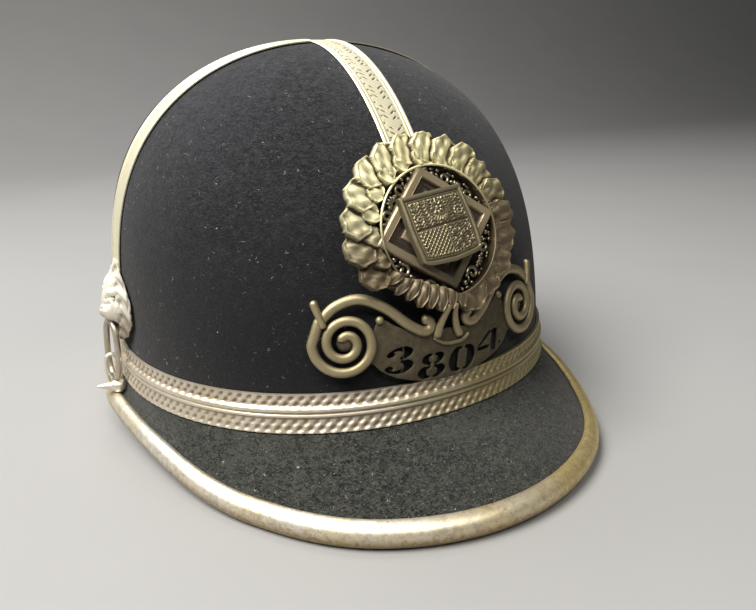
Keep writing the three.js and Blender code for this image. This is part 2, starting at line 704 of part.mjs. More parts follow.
const helmet = new THREE.Group();
helmet.name = "police_helmet";
helmet.add(
  crown(),
  peak("front_peak", FRONT_RIM, 0),
  peak("rear_peak", REAR_RIM, Math.PI),
  rim("front_rim", FRONT_RIM, 0),
  rim("rear_rim", REAR_RIM, Math.PI),
  hatBand(),
  lengthwiseStrip(),
  badge(),
  numberPlate(),
  sideFittings("left", -1),
  sideFittings("right", 1),
);

export default helmet;
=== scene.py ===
"""A felt police helmet with nickel-silver trim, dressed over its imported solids.

Sizes are in millimetres and become metres where a mesh is written. +Z is up and -Y is the front.
"""
import logging
import math
from dataclasses import dataclass
from enum import Enum
from typing import Callable, Sequence

import bpy
import numpy as np
from mathutils import Matrix, Vector


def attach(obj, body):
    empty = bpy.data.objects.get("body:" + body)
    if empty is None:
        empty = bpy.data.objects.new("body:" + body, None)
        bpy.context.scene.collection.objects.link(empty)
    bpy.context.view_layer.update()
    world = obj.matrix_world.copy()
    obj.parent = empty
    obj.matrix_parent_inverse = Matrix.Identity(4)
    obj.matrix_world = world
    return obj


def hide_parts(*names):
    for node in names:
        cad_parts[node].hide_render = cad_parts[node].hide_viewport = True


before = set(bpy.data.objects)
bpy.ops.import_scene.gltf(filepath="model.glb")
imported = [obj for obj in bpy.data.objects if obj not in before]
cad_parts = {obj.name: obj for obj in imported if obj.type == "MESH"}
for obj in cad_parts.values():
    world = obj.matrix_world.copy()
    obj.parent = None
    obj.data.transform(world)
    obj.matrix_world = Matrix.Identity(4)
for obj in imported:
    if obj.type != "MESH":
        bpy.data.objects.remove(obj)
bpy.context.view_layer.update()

logging.basicConfig(level=logging.INFO, format="%(message)s")
LOG = logging.getLogger("police_helmet")

MM = 0.001
DOUBLES = 1e-6  # metres within which vertices are merged
FAR_BELOW = (0, 0, -400)
Array = np.ndarray
Place = Callable[[Array, Array], Array]
Relief = tuple[Array, Array]  # places or heights, and how deep each point lies
Pair = tuple[float, float]
Triple = tuple[float, float, float]
Colour = Triple
Knots = tuple[Triple, ...]
Piece = bpy.types.Object


class Slot(Enum):
    """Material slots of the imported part."""

    FELT = "felt"
    NICKEL = "nickel"
    GILT = "gilt"
    PEWTER = "pewter"


# ---- shader maths ------------------------------------------------------------------------


class Signal:
    """A node socket that takes part in sums, differences and products."""

    def __init__(self, mixer: "Mixer", socket: bpy.types.NodeSocket) -> None:
        """Wraps one output socket."""
        self.mixer = mixer
        self.socket = socket

    def _math(self, operation: str, *others: "Signal | float", clamp: bool = False) -> "Signal":
        """Adds one Math node."""
        settings = {"operation": operation, "use_clamp": clamp}
        return self.mixer.node("ShaderNodeMath", settings, {0: self, **dict(enumerate(others, 1))})

    def _flipped(self, operation: str, other: float) -> "Signal":
        """Adds one Math node with a number first."""
        return self.mixer.node("ShaderNodeMath", {"operation": operation}, {0: other, 1: self})

    def __add__(self, other: "Signal | float") -> "Signal":
        """Sum."""
        return self._math("ADD", other)

    def __radd__(self, other: float) -> "Signal":
        """Sum with a number first."""
        return self._flipped("ADD", other)

    def __sub__(self, other: "Signal | float") -> "Signal":
        """Difference."""
        return self._math("SUBTRACT", other)

    def __rsub__(self, other: float) -> "Signal":
        """Difference from a number."""
        return self._flipped("SUBTRACT", other)

    def __mul__(self, other: "Signal | float") -> "Signal":
        """Product."""
        return self._math("MULTIPLY", other)

    def __rmul__(self, other: float) -> "Signal":
        """Product with a number first."""
        return self._flipped("MULTIPLY", other)

    def off(self, value: float) -> "Signal":
        """Distance from a value."""
        return self._math("SUBTRACT", value)._math("ABSOLUTE")

    def clamped(self) -> "Signal":
        """This kept between 0 and 1."""
        return self._math("ADD", 0.0, clamp=True)

    def between(self, low: float, high: float) -> "Signal":
        """A smooth step from 0 at low to 1 at high.

        Args:
            low: where the step starts.
            high: where the step ends.

        Returns:
            The step.
        """
        settings = {"interpolation_type": "SMOOTHSTEP"}
        values = {"Value": self, "From Min": low, "From Max": high, "To Min": 0.0, "To Max": 1.0}
        return self.mixer.node("ShaderNodeMapRange", settings, values)


class Mixer:
    """A material's node tree, built from expressions."""

    def __init__(self, name: str) -> None:
        """Makes an empty material with one shader.

        Args:
            name: the material's name.
        """
        self.material = bpy.data.materials.new(name)
        self.material.use_nodes = True
        self.tree = self.material.node_tree
        self.tree.nodes.clear()
        self.shader = self.tree.nodes.new("ShaderNodeBsdfPrincipled")
        output = self.tree.nodes.new("ShaderNodeOutputMaterial")
        self.tree.links.new(self.shader.outputs["BSDF"], output.inputs["Surface"])

    def node(self, kind: str, settings: dict, inputs: dict, output: int | str = 0) -> Signal:
        """Adds a node.

        Args:
            kind: the node's type.
            settings: properties of the node, set first.
            inputs: values or signals of its sockets, by name or number.
            output: which output to read.

        Returns:
            The chosen output.
        """
        made = self.tree.nodes.new(kind)
        for key, value in settings.items():
            setattr(made, key, value)
        for key, value in inputs.items():
            if isinstance(value, Signal):
                self.tree.links.new(value.socket, made.inputs[key])
            else:
                made.inputs[key].default_value = value
        return Signal(self, made.outputs[output])

    def point(
        self, scale: Sequence[float] = (1, 1, 1), shift: Sequence[float] = (0, 0, 0)
    ) -> Signal:
        """Object coordinates in millimetres.

        Args:
            scale: factor along each axis.
            shift: offset along each axis after scaling, in millimetres.

        Returns:
            The coordinates.
        """
        raw = self.node("ShaderNodeTexCoord", {}, {}, "Object")
        values = {"Vector": raw, "Location": shift, "Scale": tuple(1000 * s for s in scale)}
        return self.node("ShaderNodeMapping", {}, values)

    def axis(self, vector: Signal, letter: str) -> Signal:
        """One component of a vector."""
        return self.node("ShaderNodeSeparateXYZ", {}, {"Vector": vector}, letter)

    def attribute(self, name: str) -> Signal:
        """A mesh attribute's value."""
        return self.node("ShaderNodeAttribute", {"attribute_name": name}, {}, "Fac")

    def noise(
        self, at: Signal, scale: float, detail: float = 3, rough: float = 0.55, warp: float = 0
    ) -> Signal:
        """Fractal noise from 0 to 1.

        Args:
            at: coordinates in millimetres.
            scale: features per millimetre.
            detail: octaves.
            rough: strength of each further octave.
            warp: distortion.

        Returns:
            The noise.
        """
        values = {"Vector": at, "Scale": scale, "Detail": detail}
        values |= {"Roughness": rough, "Distortion": warp}
        return self.node("ShaderNodeTexNoise", {}, values)

    def blend(
        self,
        mask: Signal | float,
        low: Signal | Sequence[float],
        high: Signal | Sequence[float],
    ) -> Signal:
        """Mixes two colours.

        Args:
            mask: 0 for low, 1 for high.
            low: first colour.
            high: second colour.

        Returns:
            The mixed colour.
        """
        opaque = [c if isinstance(c, Signal) else (*c, 1.0) for c in (low, high)]
        settings = {"data_type": "RGBA", "clamp_factor": True}
        return self.node("ShaderNodeMix", settings, {0: mask, 6: opaque[0], 7: opaque[1]}, 2)

    def bump(self, height: Signal, depth: float, strength: float = 1.0) -> Signal:
        """A normal from a height."""
        values = {"Height": height, "Distance": depth * MM, "Strength": strength}
        return self.node("ShaderNodeBump", {}, values, "Normal")

    def feed(self, **inputs: "Signal | float | Sequence[float]") -> bpy.types.Material:
        """Sets or links the shader's sockets.

        Args:
            inputs: socket names with underscores for spaces.

        Returns:
            The finished material.
        """
        for name, value in inputs.items():
            socket = self.shader.inputs[name.replace("_", " ")]
            if isinstance(value, Signal):
                self.tree.links.new(value.socket, socket)
            else:
                socket.default_value = value
        return self.material


# ---- finishes ----------------------------------------------------------------------------


@dataclass(frozen=True)
class FeltFinish:
    """Black fur felt: a matted nap with pale lint and stray hairs, with painted light making it
    paler higher up and painted shade towards +X.
    """

    name: str
    dark: Colour = (0.0025, 0.0027, 0.0035)
    light: Colour = (0.021, 0.0215, 0.026)
    dust: Colour = (0.10, 0.10, 0.10)
    hair: Colour = (0.3, 0.3, 0.28)
    dust_share: float = 0.35
    # Heights over which painted light brightens the nap upwards.
    painted_light_heights: Pair = (45.0, 150.0)

    def material(self) -> bpy.types.Material:
        """Builds the felt.

        Returns:
            The material.
        """
        mix = Mixer(self.name)
        at = mix.point()
        strands = mix.noise(mix.point((0.5, 0.5, 1.1)), 1.15, 3, 0.65, 1.8)
        clumps = mix.noise(at, 0.32, 3, 0.6)
        clouds = mix.noise(at, 0.022, 2, 0.5)
        nap = strands.between(0.42, 0.68) * 0.75 + clumps.between(0.4, 0.7) * 0.2
        nap = (nap + clouds.between(0.4, 0.65) * 0.15).clamped()
        # Painted light: the nap is paler higher up. Painted shade darkens it towards +X.
        upper = mix.axis(at, "Z").between(*self.painted_light_heights)
        painted_side_shade = 1 - mix.axis(at, "X").between(-40, 90) * 0.5
        colour = mix.blend((nap * (upper * 1.8 + 0.1) * painted_side_shade).clamped(), self.dark, self.light)
        dusty = mix.noise(at, 0.05, 2, 0.5).between(0.42, 0.66) * self.dust_share
        specks = mix.noise(mix.point((0.6, 0.7, 1.1), (31, 7, 3)), 1.6, 2, 0.5, 2.0)
        specks = specks.between(0.64, 0.74)
        colour = mix.blend((specks * (dusty + 0.3)).clamped(), colour, self.dust)
        threads = 1 - mix.noise(at, 0.22, 1, 0.4, 1.2).off(0.5).between(0.003, 0.009)
        broken = mix.noise(mix.point((1, 1, 1), (5, 9, 40)), 0.35, 1, 0.5).between(0.66, 0.69)
        colour = mix.blend(threads * broken * 0.8, colour, self.hair)
        height = strands * 0.6 + clumps * 0.4
        return mix.feed(
            Base_Color=colour,
            Roughness=0.95,
            Specular_IOR_Level=0.08,
            Sheen_Weight=0.14,
            Sheen_Roughness=0.6,
            Sheen_Tint=(0.6, 0.6, 0.62, 1),
            Normal=mix.bump(height, 0.6, 0.9),
        )


@dataclass(frozen=True)
class MetalFinish:
    """Worn metal: painted shade where its relief is deep and where a piece marks it, yellowed in
    patches, and shifted to one side to its yellow, which on the wreath and band is painted shade.
    """

    name: str
    bright: Colour
    yellow: Colour
    deep: Colour
    rough: float = 0.3
    yellowing: float = 0.5
    spots: float = 0.0
    sweep: float = 0.0
    brown: Colour = (0.20, 0.145, 0.09)
    pitting: float = 0.3
    metallic: float = 1.0
    rust: Colour = (0.12, 0.065, 0.03)

    def material(self) -> bpy.types.Material:
        """Builds the metal.

        Returns:
            The material.
        """
        mix = Mixer(self.name)
        at = mix.point()
        patches = mix.noise(at, 0.035, 3, 0.55)
        grime = mix.noise(at, 0.45, 4, 0.65)
        fine = mix.noise(at, 2.2, 3, 0.6)
        # Per-vertex recess mark: painted shade in hollows, grooves and between parts.
        recess_shade = mix.attribute("recess_shade")
        # Towards +X the colour shifts to the finish's yellow. On the rim this is its own gold. On
        # the wreath and band it is a darker yellow, painted shade on the side away from the key
        # light.
        aside = mix.axis(at, "X").between(-55, 60) * self.sweep
        yellowed_and_side_shade = (patches.between(0.36, 0.66) * self.yellowing + aside).clamped()
        colour = mix.blend(yellowed_and_side_shade, self.bright, self.yellow)
        mottle = mix.noise(mix.point((1, 1, 1), (3, 8, 21)), 0.42, 4, 0.7, 0.6)
        mottle = mottle.between(0.44, 0.64) * self.spots
        # The per-vertex tone mark paints shade on undersides and lower parts, with real tarnish on
        # the wreath and ring. Grime and mottling are real stains.
        stain_and_shade = mix.attribute("shade_and_tarnish") * 1.12 + (grime - 0.5) * 0.2 + mottle * 0.32
        colour = mix.blend(stain_and_shade.clamped(), colour, self.brown)
        # Painted recess shade from the recess mark, plus real grime.
        grime_and_recess_shade = (recess_shade * 1.15 + (grime - 0.5) * 0.55).clamped()
        colour = mix.blend(grime_and_recess_shade, colour, self.deep)
        freckles = mix.noise(mix.point((1, 1, 1), (11, 5, 2)), 0.75, 3, 0.7).between(0.6, 0.68)
        places = mix.noise(at, 0.05, 2, 0.5).between(0.47, 0.6)
        rust = (freckles * places * self.spots).clamped()
        colour = mix.blend(rust, colour, self.rust)
        rough = (grime * 0.22 + grime_and_recess_shade * 0.22 + rust * 0.3 + (self.rough - 0.11)).clamped()
        return mix.feed(
            Base_Color=colour,
            Metallic=(self.metallic - rust * 0.7 - grime_and_recess_shade * 0.15).clamped(),
            Roughness=rough,
            Normal=mix.bump(fine * 0.5 + grime * 0.5, self.pitting, 0.25),
        )


FELT_CROWN = FeltFinish("felt_crown")
FELT_PEAK = FeltFinish(
    "felt_peak",
    dark=(0.004, 0.0042, 0.004),
    light=(0.036, 0.0375, 0.0335),
    dust=(0.15, 0.155, 0.14),
    dust_share=0.9,
    # The peak takes the painted top light in full.
    painted_light_heights=(-9, -8),
)
# In the metal finishes, deep is the colour of painted recess shade, and brown that of painted
# underside shade and tarnish. The wreath's and band's dark yellow is painted side shade.
RIM_METAL = MetalFinish(
    "rim_nickel",
    bright=(0.82, 0.79, 0.72),
    yellow=(0.72, 0.57, 0.27),
    deep=(0.24, 0.17, 0.09),
    rough=0.4,
    spots=1.0,
    sweep=0.95,
    brown=(0.27, 0.195, 0.095),
    pitting=0.6,
    metallic=0.85,
)
BAND_METAL = MetalFinish(
    "band_nickel",
    bright=(0.66, 0.60, 0.50),
    yellow=(0.36, 0.31, 0.155),
    deep=(0.22, 0.165, 0.115),
    rough=0.42,
    yellowing=0.3,
    sweep=1.0,
    metallic=0.85,
)
STRIP_METAL = MetalFinish(
    "strip_nickel",
    bright=(0.66, 0.63, 0.50),
    yellow=(0.63, 0.59, 0.40),
    deep=(0.10, 0.08, 0.04),
    rough=0.48,
    yellowing=0.6,
    metallic=0.6,
)
WREATH_METAL = MetalFinish(
    "wreath_gilt",
    bright=(0.99, 0.95, 0.62),
    yellow=(0.36, 0.31, 0.14),
    deep=(0.07, 0.052, 0.028),
    rough=0.46,
    yellowing=0.1,
    sweep=0.85,
    brown=(0.115, 0.088, 0.05),
    pitting=0.5,
    metallic=0.35,
)
GROUND_METAL = MetalFinish(
    "ground_gilt",
    bright=(0.30, 0.27, 0.20),
    yellow=(0.26, 0.22, 0.13),
    deep=(0.022, 0.018, 0.016),
    rough=0.34,
    yellowing=0.4,
)
STAR_METAL = MetalFinish(
    "star_gilt",
    bright=(0.42, 0.34, 0.23),
    yellow=(0.34, 0.28, 0.17),
    deep=(0.055, 0.042, 0.03),
    rough=0.4,
    brown=(0.065, 0.05, 0.036),
    metallic=0.7,
)
SHIELD_METAL = MetalFinish(
    "shield_brass",
    bright=(0.25, 0.22, 0.14),
    yellow=(0.215, 0.185, 0.105),
    deep=(0.105, 0.088, 0.056),
    rough=0.42,
    metallic=0.85,
)
PLATE_METAL = MetalFinish(
    "plate_bronze",
    bright=(0.37, 0.315, 0.195),
    yellow=(0.31, 0.255, 0.14),
    deep=(0.08, 0.068, 0.045),
    rough=0.5,
    yellowing=0.6,
    sweep=0.4,
    metallic=0.9,
)
BOSS_METAL = MetalFinish(
    "boss_nickel",
    bright=(0.93, 0.91, 0.82),
    yellow=(0.84, 0.81, 0.68),
    deep=(0.16, 0.125, 0.085),
    rough=0.42,
    yellowing=0.3,
    brown=(0.26, 0.21, 0.145),
    metallic=0.6,
)
RING_METAL = MetalFinish(
    "ring_nickel",
    bright=(0.76, 0.73, 0.65),
    yellow=(0.60, 0.54, 0.38),
    deep=(0.26, 0.21, 0.14),
    rough=0.4,
    pitting=0.1,
    metallic=0.85,
)


# ---- bench -------------------------------------------------------------------------------


class Bench:
    """Modelling moves, made with the modeller's own operators."""

    @staticmethod
    def clear() -> None:
        """Leaves edit mode and deselects everything."""
        if bpy.context.object and bpy.context.object.mode != "OBJECT":
            bpy.ops.object.mode_set(mode="OBJECT")
        bpy.ops.object.select_all(action="DESELECT")

    @staticmethod
    def hold(piece: Piece) -> None:
        """Makes one piece the only selected and active one.

        Args:
            piece: the piece.
        """
        Bench.clear()
        bpy.context.view_layer.objects.active = piece
        piece.select_set(True)

    @staticmethod
    def taken(name: str) -> Piece:
        """Names the object that an operator just added.

        Args:
            name: the new name.

        Returns:
            The object.
        """
        piece = bpy.context.object
        piece.name = name
        piece.data.name = name
        return piece

    @staticmethod
    def add(name: str, kind: Callable[..., object], **settings: object) -> Piece:
        """Adds a primitive at its place.

        Args:
            name: its name.
            kind: the operator that adds it.
            settings: the operator's settings.

        Returns:
            The primitive.
        """
        Bench.clear()
        kind(**settings)
        bpy.ops.object.transform_apply()
        return Bench.taken(name)

    @staticmethod
    def coordinates(piece: Piece) -> Array:
        """Vertex places in metres.

        Args:
            piece: the piece.

        Returns:
            One row per vertex.
        """
        flat = np.empty(3 * len(piece.data.vertices))
        piece.data.vertices.foreach_get("co", flat)
        return flat.reshape(-1, 3)

    @staticmethod
    def points(piece: Piece) -> Array:
        """Vertex places in millimetres."""
        return Bench.coordinates(piece) / MM

    @staticmethod
    def place(piece: Piece, points: Array) -> None:
        """Moves the vertices.

        Args:
            piece: the piece.
            points: one row per vertex, in metres.
        """
        flat = np.ascontiguousarray(points, dtype=np.float64).ravel()
        piece.data.vertices.foreach_set("co", flat)
        piece.data.update()

    @staticmethod
    def mark(piece: Piece, name: str, values: Array) -> None:
        """Stores one number per vertex."""
        layer = piece.data.attributes.get(name) or piece.data.attributes.new(name, "FLOAT", "POINT")
        layer.data.foreach_set("value", np.ascontiguousarray(values, dtype=np.float32))

    @staticmethod
    def edit(piece: Piece, *moves: Callable[[], object], chosen: Callable | None = None) -> None:
        """Runs operators in edit mode.

        Args:
            piece: the piece.
            moves: operators without arguments, in order.
            chosen: which vertices are selected first, from their coordinates. All by default.
        """
        Bench.hold(piece)
        bpy.ops.object.mode_set(mode="EDIT")
        bpy.ops.mesh.select_mode(type="VERT")
        bpy.ops.mesh.select_all(action="SELECT" if chosen is None else "DESELECT")
        if chosen is not None:
            bpy.ops.object.mode_set(mode="OBJECT")
            piece.data.vertices.foreach_set("select", chosen(Bench.coordinates(piece)))
            bpy.ops.object.mode_set(mode="EDIT")
        for move in moves:
            move()
        bpy.ops.object.mode_set(mode="OBJECT")

    @staticmethod
    def merge(piece: Piece) -> None:
        """Merges doubles."""
        Bench.edit(piece, lambda: bpy.ops.mesh.remove_doubles(threshold=DOUBLES))

    @staticmethod
    def outward(piece: Piece) -> None:
        """Turns a closed piece's faces outwards."""
        Bench.edit(piece, lambda: bpy.ops.mesh.normals_make_consistent(inside=False))

    @staticmethod
    def bridge(piece: Piece) -> None:
        """Bridges a piece's two open edges and turns its faces outwards."""
        Bench.edit(piece, bpy.ops.mesh.region_to_loop, bpy.ops.mesh.bridge_edge_loops)
        Bench.outward(piece)

    @staticmethod
    def cap(piece: Piece) -> None:
        """Fills a piece's open ends and turns its faces outwards."""
        Bench.edit(piece, bpy.ops.mesh.region_to_loop, lambda: bpy.ops.mesh.fill_holes(sides=0))
        Bench.outward(piece)

    @staticmethod
    def sheet(name: str, columns: int, rows: int, place: Place, merge: bool = False) -> Piece:
        """A subdivided sheet laid onto a surface.

        Args:
            name: the piece's name.
            columns: faces along the first direction.
            rows: faces along the second direction.
            place: from the two directions, each 0 to 1, to millimetres.
            merge: True to close a seam or pole by merging doubles.

        Returns:
            The sheet.
        """
        counts = {"x_subdivisions": columns, "y_subdivisions": rows}
        grid = bpy.ops.mesh.primitive_grid_add
        piece = Bench.add(name, grid, size=1, location=(0.5, 0.5, 0), **counts)
        flat = Bench.coordinates(piece)
        Bench.place(piece, place(flat[:, 0], flat[:, 1]) * MM)
        if merge:
            Bench.merge(piece)
        return piece

    @staticmethod
    def stamped(
        name: str, columns: int, rows: int, place: Callable[[Array, Array], Relief]
    ) -> Piece:
        """A sheet that stores how deep each point lies, which paints recess shade.

        Args:
            name: the piece's name.
            columns: faces along the first direction.
            rows: faces along the second direction.
            place: from the two directions to millimetres and to the depth, 0 to 1.

        Returns:
            The sheet.
        """
        depths: list[Array] = []

        def keep(u: Array, v: Array) -> Array:
            """Keeps the depths aside.

            Args:
                u: share along the first direction.
                v: share along the second.

            Returns:
                The points alone.
            """
            points, deep = place(u, v)
            depths.append(deep)
            return points

        piece = Bench.sheet(name, columns, rows, keep)
        Bench.mark(piece, "recess_shade", depths[0])
        return piece

    @staticmethod
    def face_away(piece: Piece, inside: Sequence[float]) -> None:
        """Turns an open sheet's faces away from a point.

        Args:
            piece: the sheet.
            inside: the point, in millimetres.
        """
        faces = piece.data.polygons
        centres = np.empty(3 * len(faces))
        normals = np.empty(3 * len(faces))
        faces.foreach_get("center", centres)
        faces.foreach_get("normal", normals)
        outward = centres.reshape(-1, 3) - np.array(inside) * MM
        if (outward * normals.reshape(-1, 3)).sum() < 0:
            Bench.edit(piece, bpy.ops.mesh.flip_normals)

    @staticmethod
    def modify(piece: Piece, kind: str, **settings: object) -> None:
        """Adds a modifier and applies it.

        Args:
            piece: the piece.
            kind: the modifier's type.
            settings: its properties.
        """
        Bench.hold(piece)
        modifier = piece.modifiers.new(kind.lower(), kind)
        for key, value in settings.items():
            setattr(modifier, key, value)
        bpy.ops.object.modifier_apply(modifier=modifier.name)

    @staticmethod
    def thicken(piece: Piece, wall: float) -> None:
        """Gives a sheet a wall on its back."""
        Bench.modify(piece, "SOLIDIFY", thickness=wall * MM, offset=-1, use_even_offset=False)

    @staticmethod
    def shell(piece: Piece, inside: Sequence[float], wall: float, angle: float) -> None:
        """Makes a sheet into a smooth wall.

        Args:
            piece: the sheet.
            inside: a point behind it, in millimetres.
            wall: thickness in millimetres.
            angle: degrees from which its edges stay sharp.
        """
        Bench.face_away(piece, inside)
        Bench.thicken(piece, wall)
        Bench.smooth(piece, angle)

    @staticmethod
    def join(name: str, pieces: Sequence[Piece]) -> Piece:
        """Joins pieces into one.

        Args:
            name: the joined piece's name.
            pieces: what to join.

        Returns:
            The joined piece.
        """
        Bench.clear()
        for piece in pieces:
            piece.select_set(True)
        bpy.context.view_layer.objects.active = pieces[0]
        bpy.ops.object.join()
        return Bench.taken(name)

    @staticmethod
    def smooth(piece: Piece, angle: float) -> None:
        """Shades a piece smooth, but for edges sharper than an angle."""
        Bench.hold(piece)
        bpy.ops.object.shade_smooth_by_angle(angle=math.radians(angle))

    @staticmethod
    def finish(piece: Piece, material: bpy.types.Material, slot: Slot, *nodes: str) -> None:
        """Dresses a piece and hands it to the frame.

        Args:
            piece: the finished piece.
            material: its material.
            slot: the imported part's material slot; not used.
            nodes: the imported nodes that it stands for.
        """
        for name in ("recess_shade", "shade_and_tarnish"):
            if name not in piece.data.attributes:
                Bench.mark(piece, name, np.zeros(len(piece.data.vertices)))
        piece.data.materials.clear()
        piece.data.materials.append(material)
        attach(piece, "root")
        if nodes:
            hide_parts(*nodes)
        piece.data.calc_loop_triangles()
        LOG.info("%s: %d triangles", piece.name, len(piece.data.loop_triangles))


# ---- curves and crown form ---------------------------------------------------------------


def unit(vectors: Array) -> Array:
    """Vectors at length one."""
    return vectors / np.linalg.norm(vectors, axis=1, keepdims=True)


def smooth_step(at: Array, low: float, high: float) -> Array:
    """A smooth step from 0 at low to 1 at high."""
    share = np.clip((at - low) / (high - low), 0, 1)
    return share * share * (3 - 2 * share)


def bump_at(at: Array, centre: float, half: float) -> Array:
    """A round ridge of height one."""
    return np.sqrt(np.clip(1 - ((at - centre) / half) ** 2, 0, 1))


def glow(at: Array, centre: float, half: float, power: int = 2) -> Array:
    """A soft ridge of height one."""
    return np.exp(-(((at - centre) / half) ** power))


def curve_through(knots: Sequence[float], values: Sequence[float], at: Array) -> Array:
    """A smooth curve through a table, flat at both ends.

    Args:
        knots: where the values stand.
        values: the values.
        at: where to read the curve.

    Returns:
        The curve's values.
    """
    x, y = np.array(knots, float), np.array(values, float)
    slopes = np.zeros_like(y)
    slopes[1:-1] = (y[2:] - y[:-2]) / (x[2:] - x[:-2])
    at = np.clip(at, x[0], x[-1])
    i = np.clip(np.searchsorted(x, at, side="right") - 1, 0, len(x) - 2)
    span = x[i + 1] - x[i]
    t = (at - x[i]) / span
    low = (1 + 2 * t) * (1 - t) ** 2 * y[i] + t * (1 - t) ** 2 * span * slopes[i]
    return low + t * t * (3 - 2 * t) * y[i + 1] + t * t * (t - 1) * span * slopes[i + 1]


@dataclass(frozen=True)
class CrownForm:
    """The dome's outer surface, on which the trim lies."""

    half_width: float = 94.0
    front: float = 100.6
    rear: float = 111.0
    front_power: float = 2.12
    rear_power: float = 1.83
    base: float = 22.8
    band_height: float = 14.0
    height: float = 118.3
    top_shift: float = 2.7
    flare: float = 1.6
    front_rise: float = 1.8
    farthest: float = 260.0
    halvings: int = 36

    def plan_radius(self, turn: Array) -> Array:
        """Distance from the middle to the wall.

        Args:
            turn: direction, 0 at the front and 90 degrees at +X, in radians.

        Returns:
            The distance.
        """
        ahead = np.cos(turn) >= 0
        power = np.where(ahead, self.front_power, self.rear_power)
        length = np.where(ahead, self.front, self.rear)
        aside = np.abs(np.sin(turn) / self.half_width) ** power
        return (aside + np.abs(np.cos(turn) / length) ** power) ** (-1 / power)

    def foot(self, turn: Array) -> Array:
        """Height of the band's lower edge by direction."""
        return self.base + self.front_rise * np.clip(np.cos(turn), 0, 1) ** 2

    def wall_radius(self, turn: Array, z: Array) -> Array:
        """Wall distance at a height: the flared foot, then the dome.

        Args:
            turn: direction.
            z: height.

        Returns:
            The distance.
        """
        plan = self.plan_radius(turn)
        level = np.clip((z - self.base) / self.band_height, -1, 1)
        share = np.clip((z - self.base - self.band_height) / self.height, 0, 1)

        def shrink(shoulder: float, roundness: float) -> Array:
            """How one direction's plan shrinks with height."""
            return (1 - share**shoulder) ** (1 / roundness)

        ahead = np.cos(turn) ** 2
        ends = np.where(np.cos(turn) >= 0, shrink(1.64, 2.2), shrink(2.49, 2.21))
        dome = plan * (ends * ahead + shrink(3.2, 2.03) * (1 - ahead))
        return np.where(share > 0, dome, plan + self.flare * (1 - level) ** 2)

    def exit(self, origin: Array, direction: Array) -> Array:
        """Where rays from inside the crown leave it.

        Args:
            origin: one row per ray.
            direction: one row per ray.

        Returns:
            The points.
        """
        near = np.zeros(len(direction))
        far = np.full(len(direction), self.farthest)
        for _ in range(self.halvings):
            middle = (near + far) / 2
            x, y, z = (origin + direction * middle[:, None]).T
            share = np.clip((z - self.base - self.band_height) / self.height, 0, None)
            back = y - self.top_shift * share**2
            inside = (np.hypot(x, back) < self.wall_radius(np.arctan2(x, -back), z)) & (share < 1)
            near = np.where(inside, middle, near)
            far = np.where(inside, far, middle)
        return origin + direction * near[:, None]

    def lifted(self, origin: Array, direction: Array, lift: Array | float) -> Array:
        """Points over the crown's surface.

        Args:
            origin: where each ray starts.
            direction: each ray's unit direction.
            lift: distance out from the surface.

        Returns:
            The points.
        """
        origin = np.broadcast_to(origin, direction.shape)
        here = self.exit(origin, direction)
        aside = unit(np.cross(direction[:, [2, 0, 1]], direction))
        above = np.cross(direction, aside)

        def span(axis: Array) -> Array:
            """The surface's run along one axis about each point."""
            ahead = self.exit(origin, unit(direction + axis * 0.01))
            return ahead - self.exit(origin, unit(direction + axis * -0.01))

        normal = unit(np.cross(span(aside), span(above)))
        normal *= np.sign((normal * direction).sum(axis=1, keepdims=True))
        return here + normal * np.broadcast_to(lift, len(here))[:, None]


FORM = CrownForm()
SPRING = FORM.base + FORM.band_height
MIDDLE = (0, 0, 60)


# ---- felt and rims -----------------------------------------------------------------------


def polar(angle: Array | float) -> Array:
    """Unit directions in a plane, from degrees."""
    rad = np.radians(angle)
    return np.stack([np.cos(rad), np.sin(rad)], axis=-1)


def stood_up(turn: Array, out: Array, z: Array) -> Array:
    """Points by direction, distance from the middle and height."""
    return np.column_stack([np.sin(turn) * out, -np.cos(turn) * out, z])


@dataclass(frozen=True)
class Crown:
    """The hollow felt dome."""

    wall: float = 2.5
    columns: int = 240
    rows: int = 96
    foot_rows: float = 0.08
    dents: float = 0.16
    nearly: float = 0.9999

    def place(self, u: Array, v: Array) -> Array:
        """The outer surface, from the foot to the top.

        Args:
            u: share of a turn.
            v: 0 at the foot and 1 at the top.

        Returns:
            The points.
        """
        turn = 2 * np.pi * u
        foot = FORM.foot(turn)
        low = v <= self.foot_rows
        z = foot + (SPRING - foot) * np.clip(v / self.foot_rows, 0, 1)
        points = stood_up(turn, FORM.wall_radius(turn, z), z)
        rise = np.radians(90 * np.clip((v - self.foot_rows) / (1 - self.foot_rows), 0, self.nearly))
        heading = stood_up(turn, np.cos(rise), np.sin(rise))
        dome = FORM.lifted(np.array([0.0, 0.0, SPRING]), heading, 0.0)
        top = v > self.nearly
        dome[top] = [0, FORM.top_shift, SPRING + FORM.height]
        waves = np.sin(3 * turn + 7 * v) * np.sin(9 * v + 1) + 0.6 * np.sin(5 * turn - 11 * v + 2)
        swell = 1 + self.dents / 100 * waves * np.sin(np.pi * v)
        dome[:, :2] *= swell[:, None]
        return np.where(low[:, None], points, dome)

    def build(self) -> None:
        """Makes the dome and its wall."""
        piece = Bench.sheet("felt_crown", self.columns, self.rows, self.place, merge=True)
        Bench.shell(piece, MIDDLE, self.wall, 40)
        Bench.finish(piece, FELT_CROWN.material(), Slot.FELT, "crown")


ROLL = 4.8
FOOT_HALF = 15.0
# The drop that stands the roll's flattened foot on the floor.
ON_FLOOR = (FORM.base + ROLL * math.sin(math.radians(270 - FOOT_HALF)),) * 3


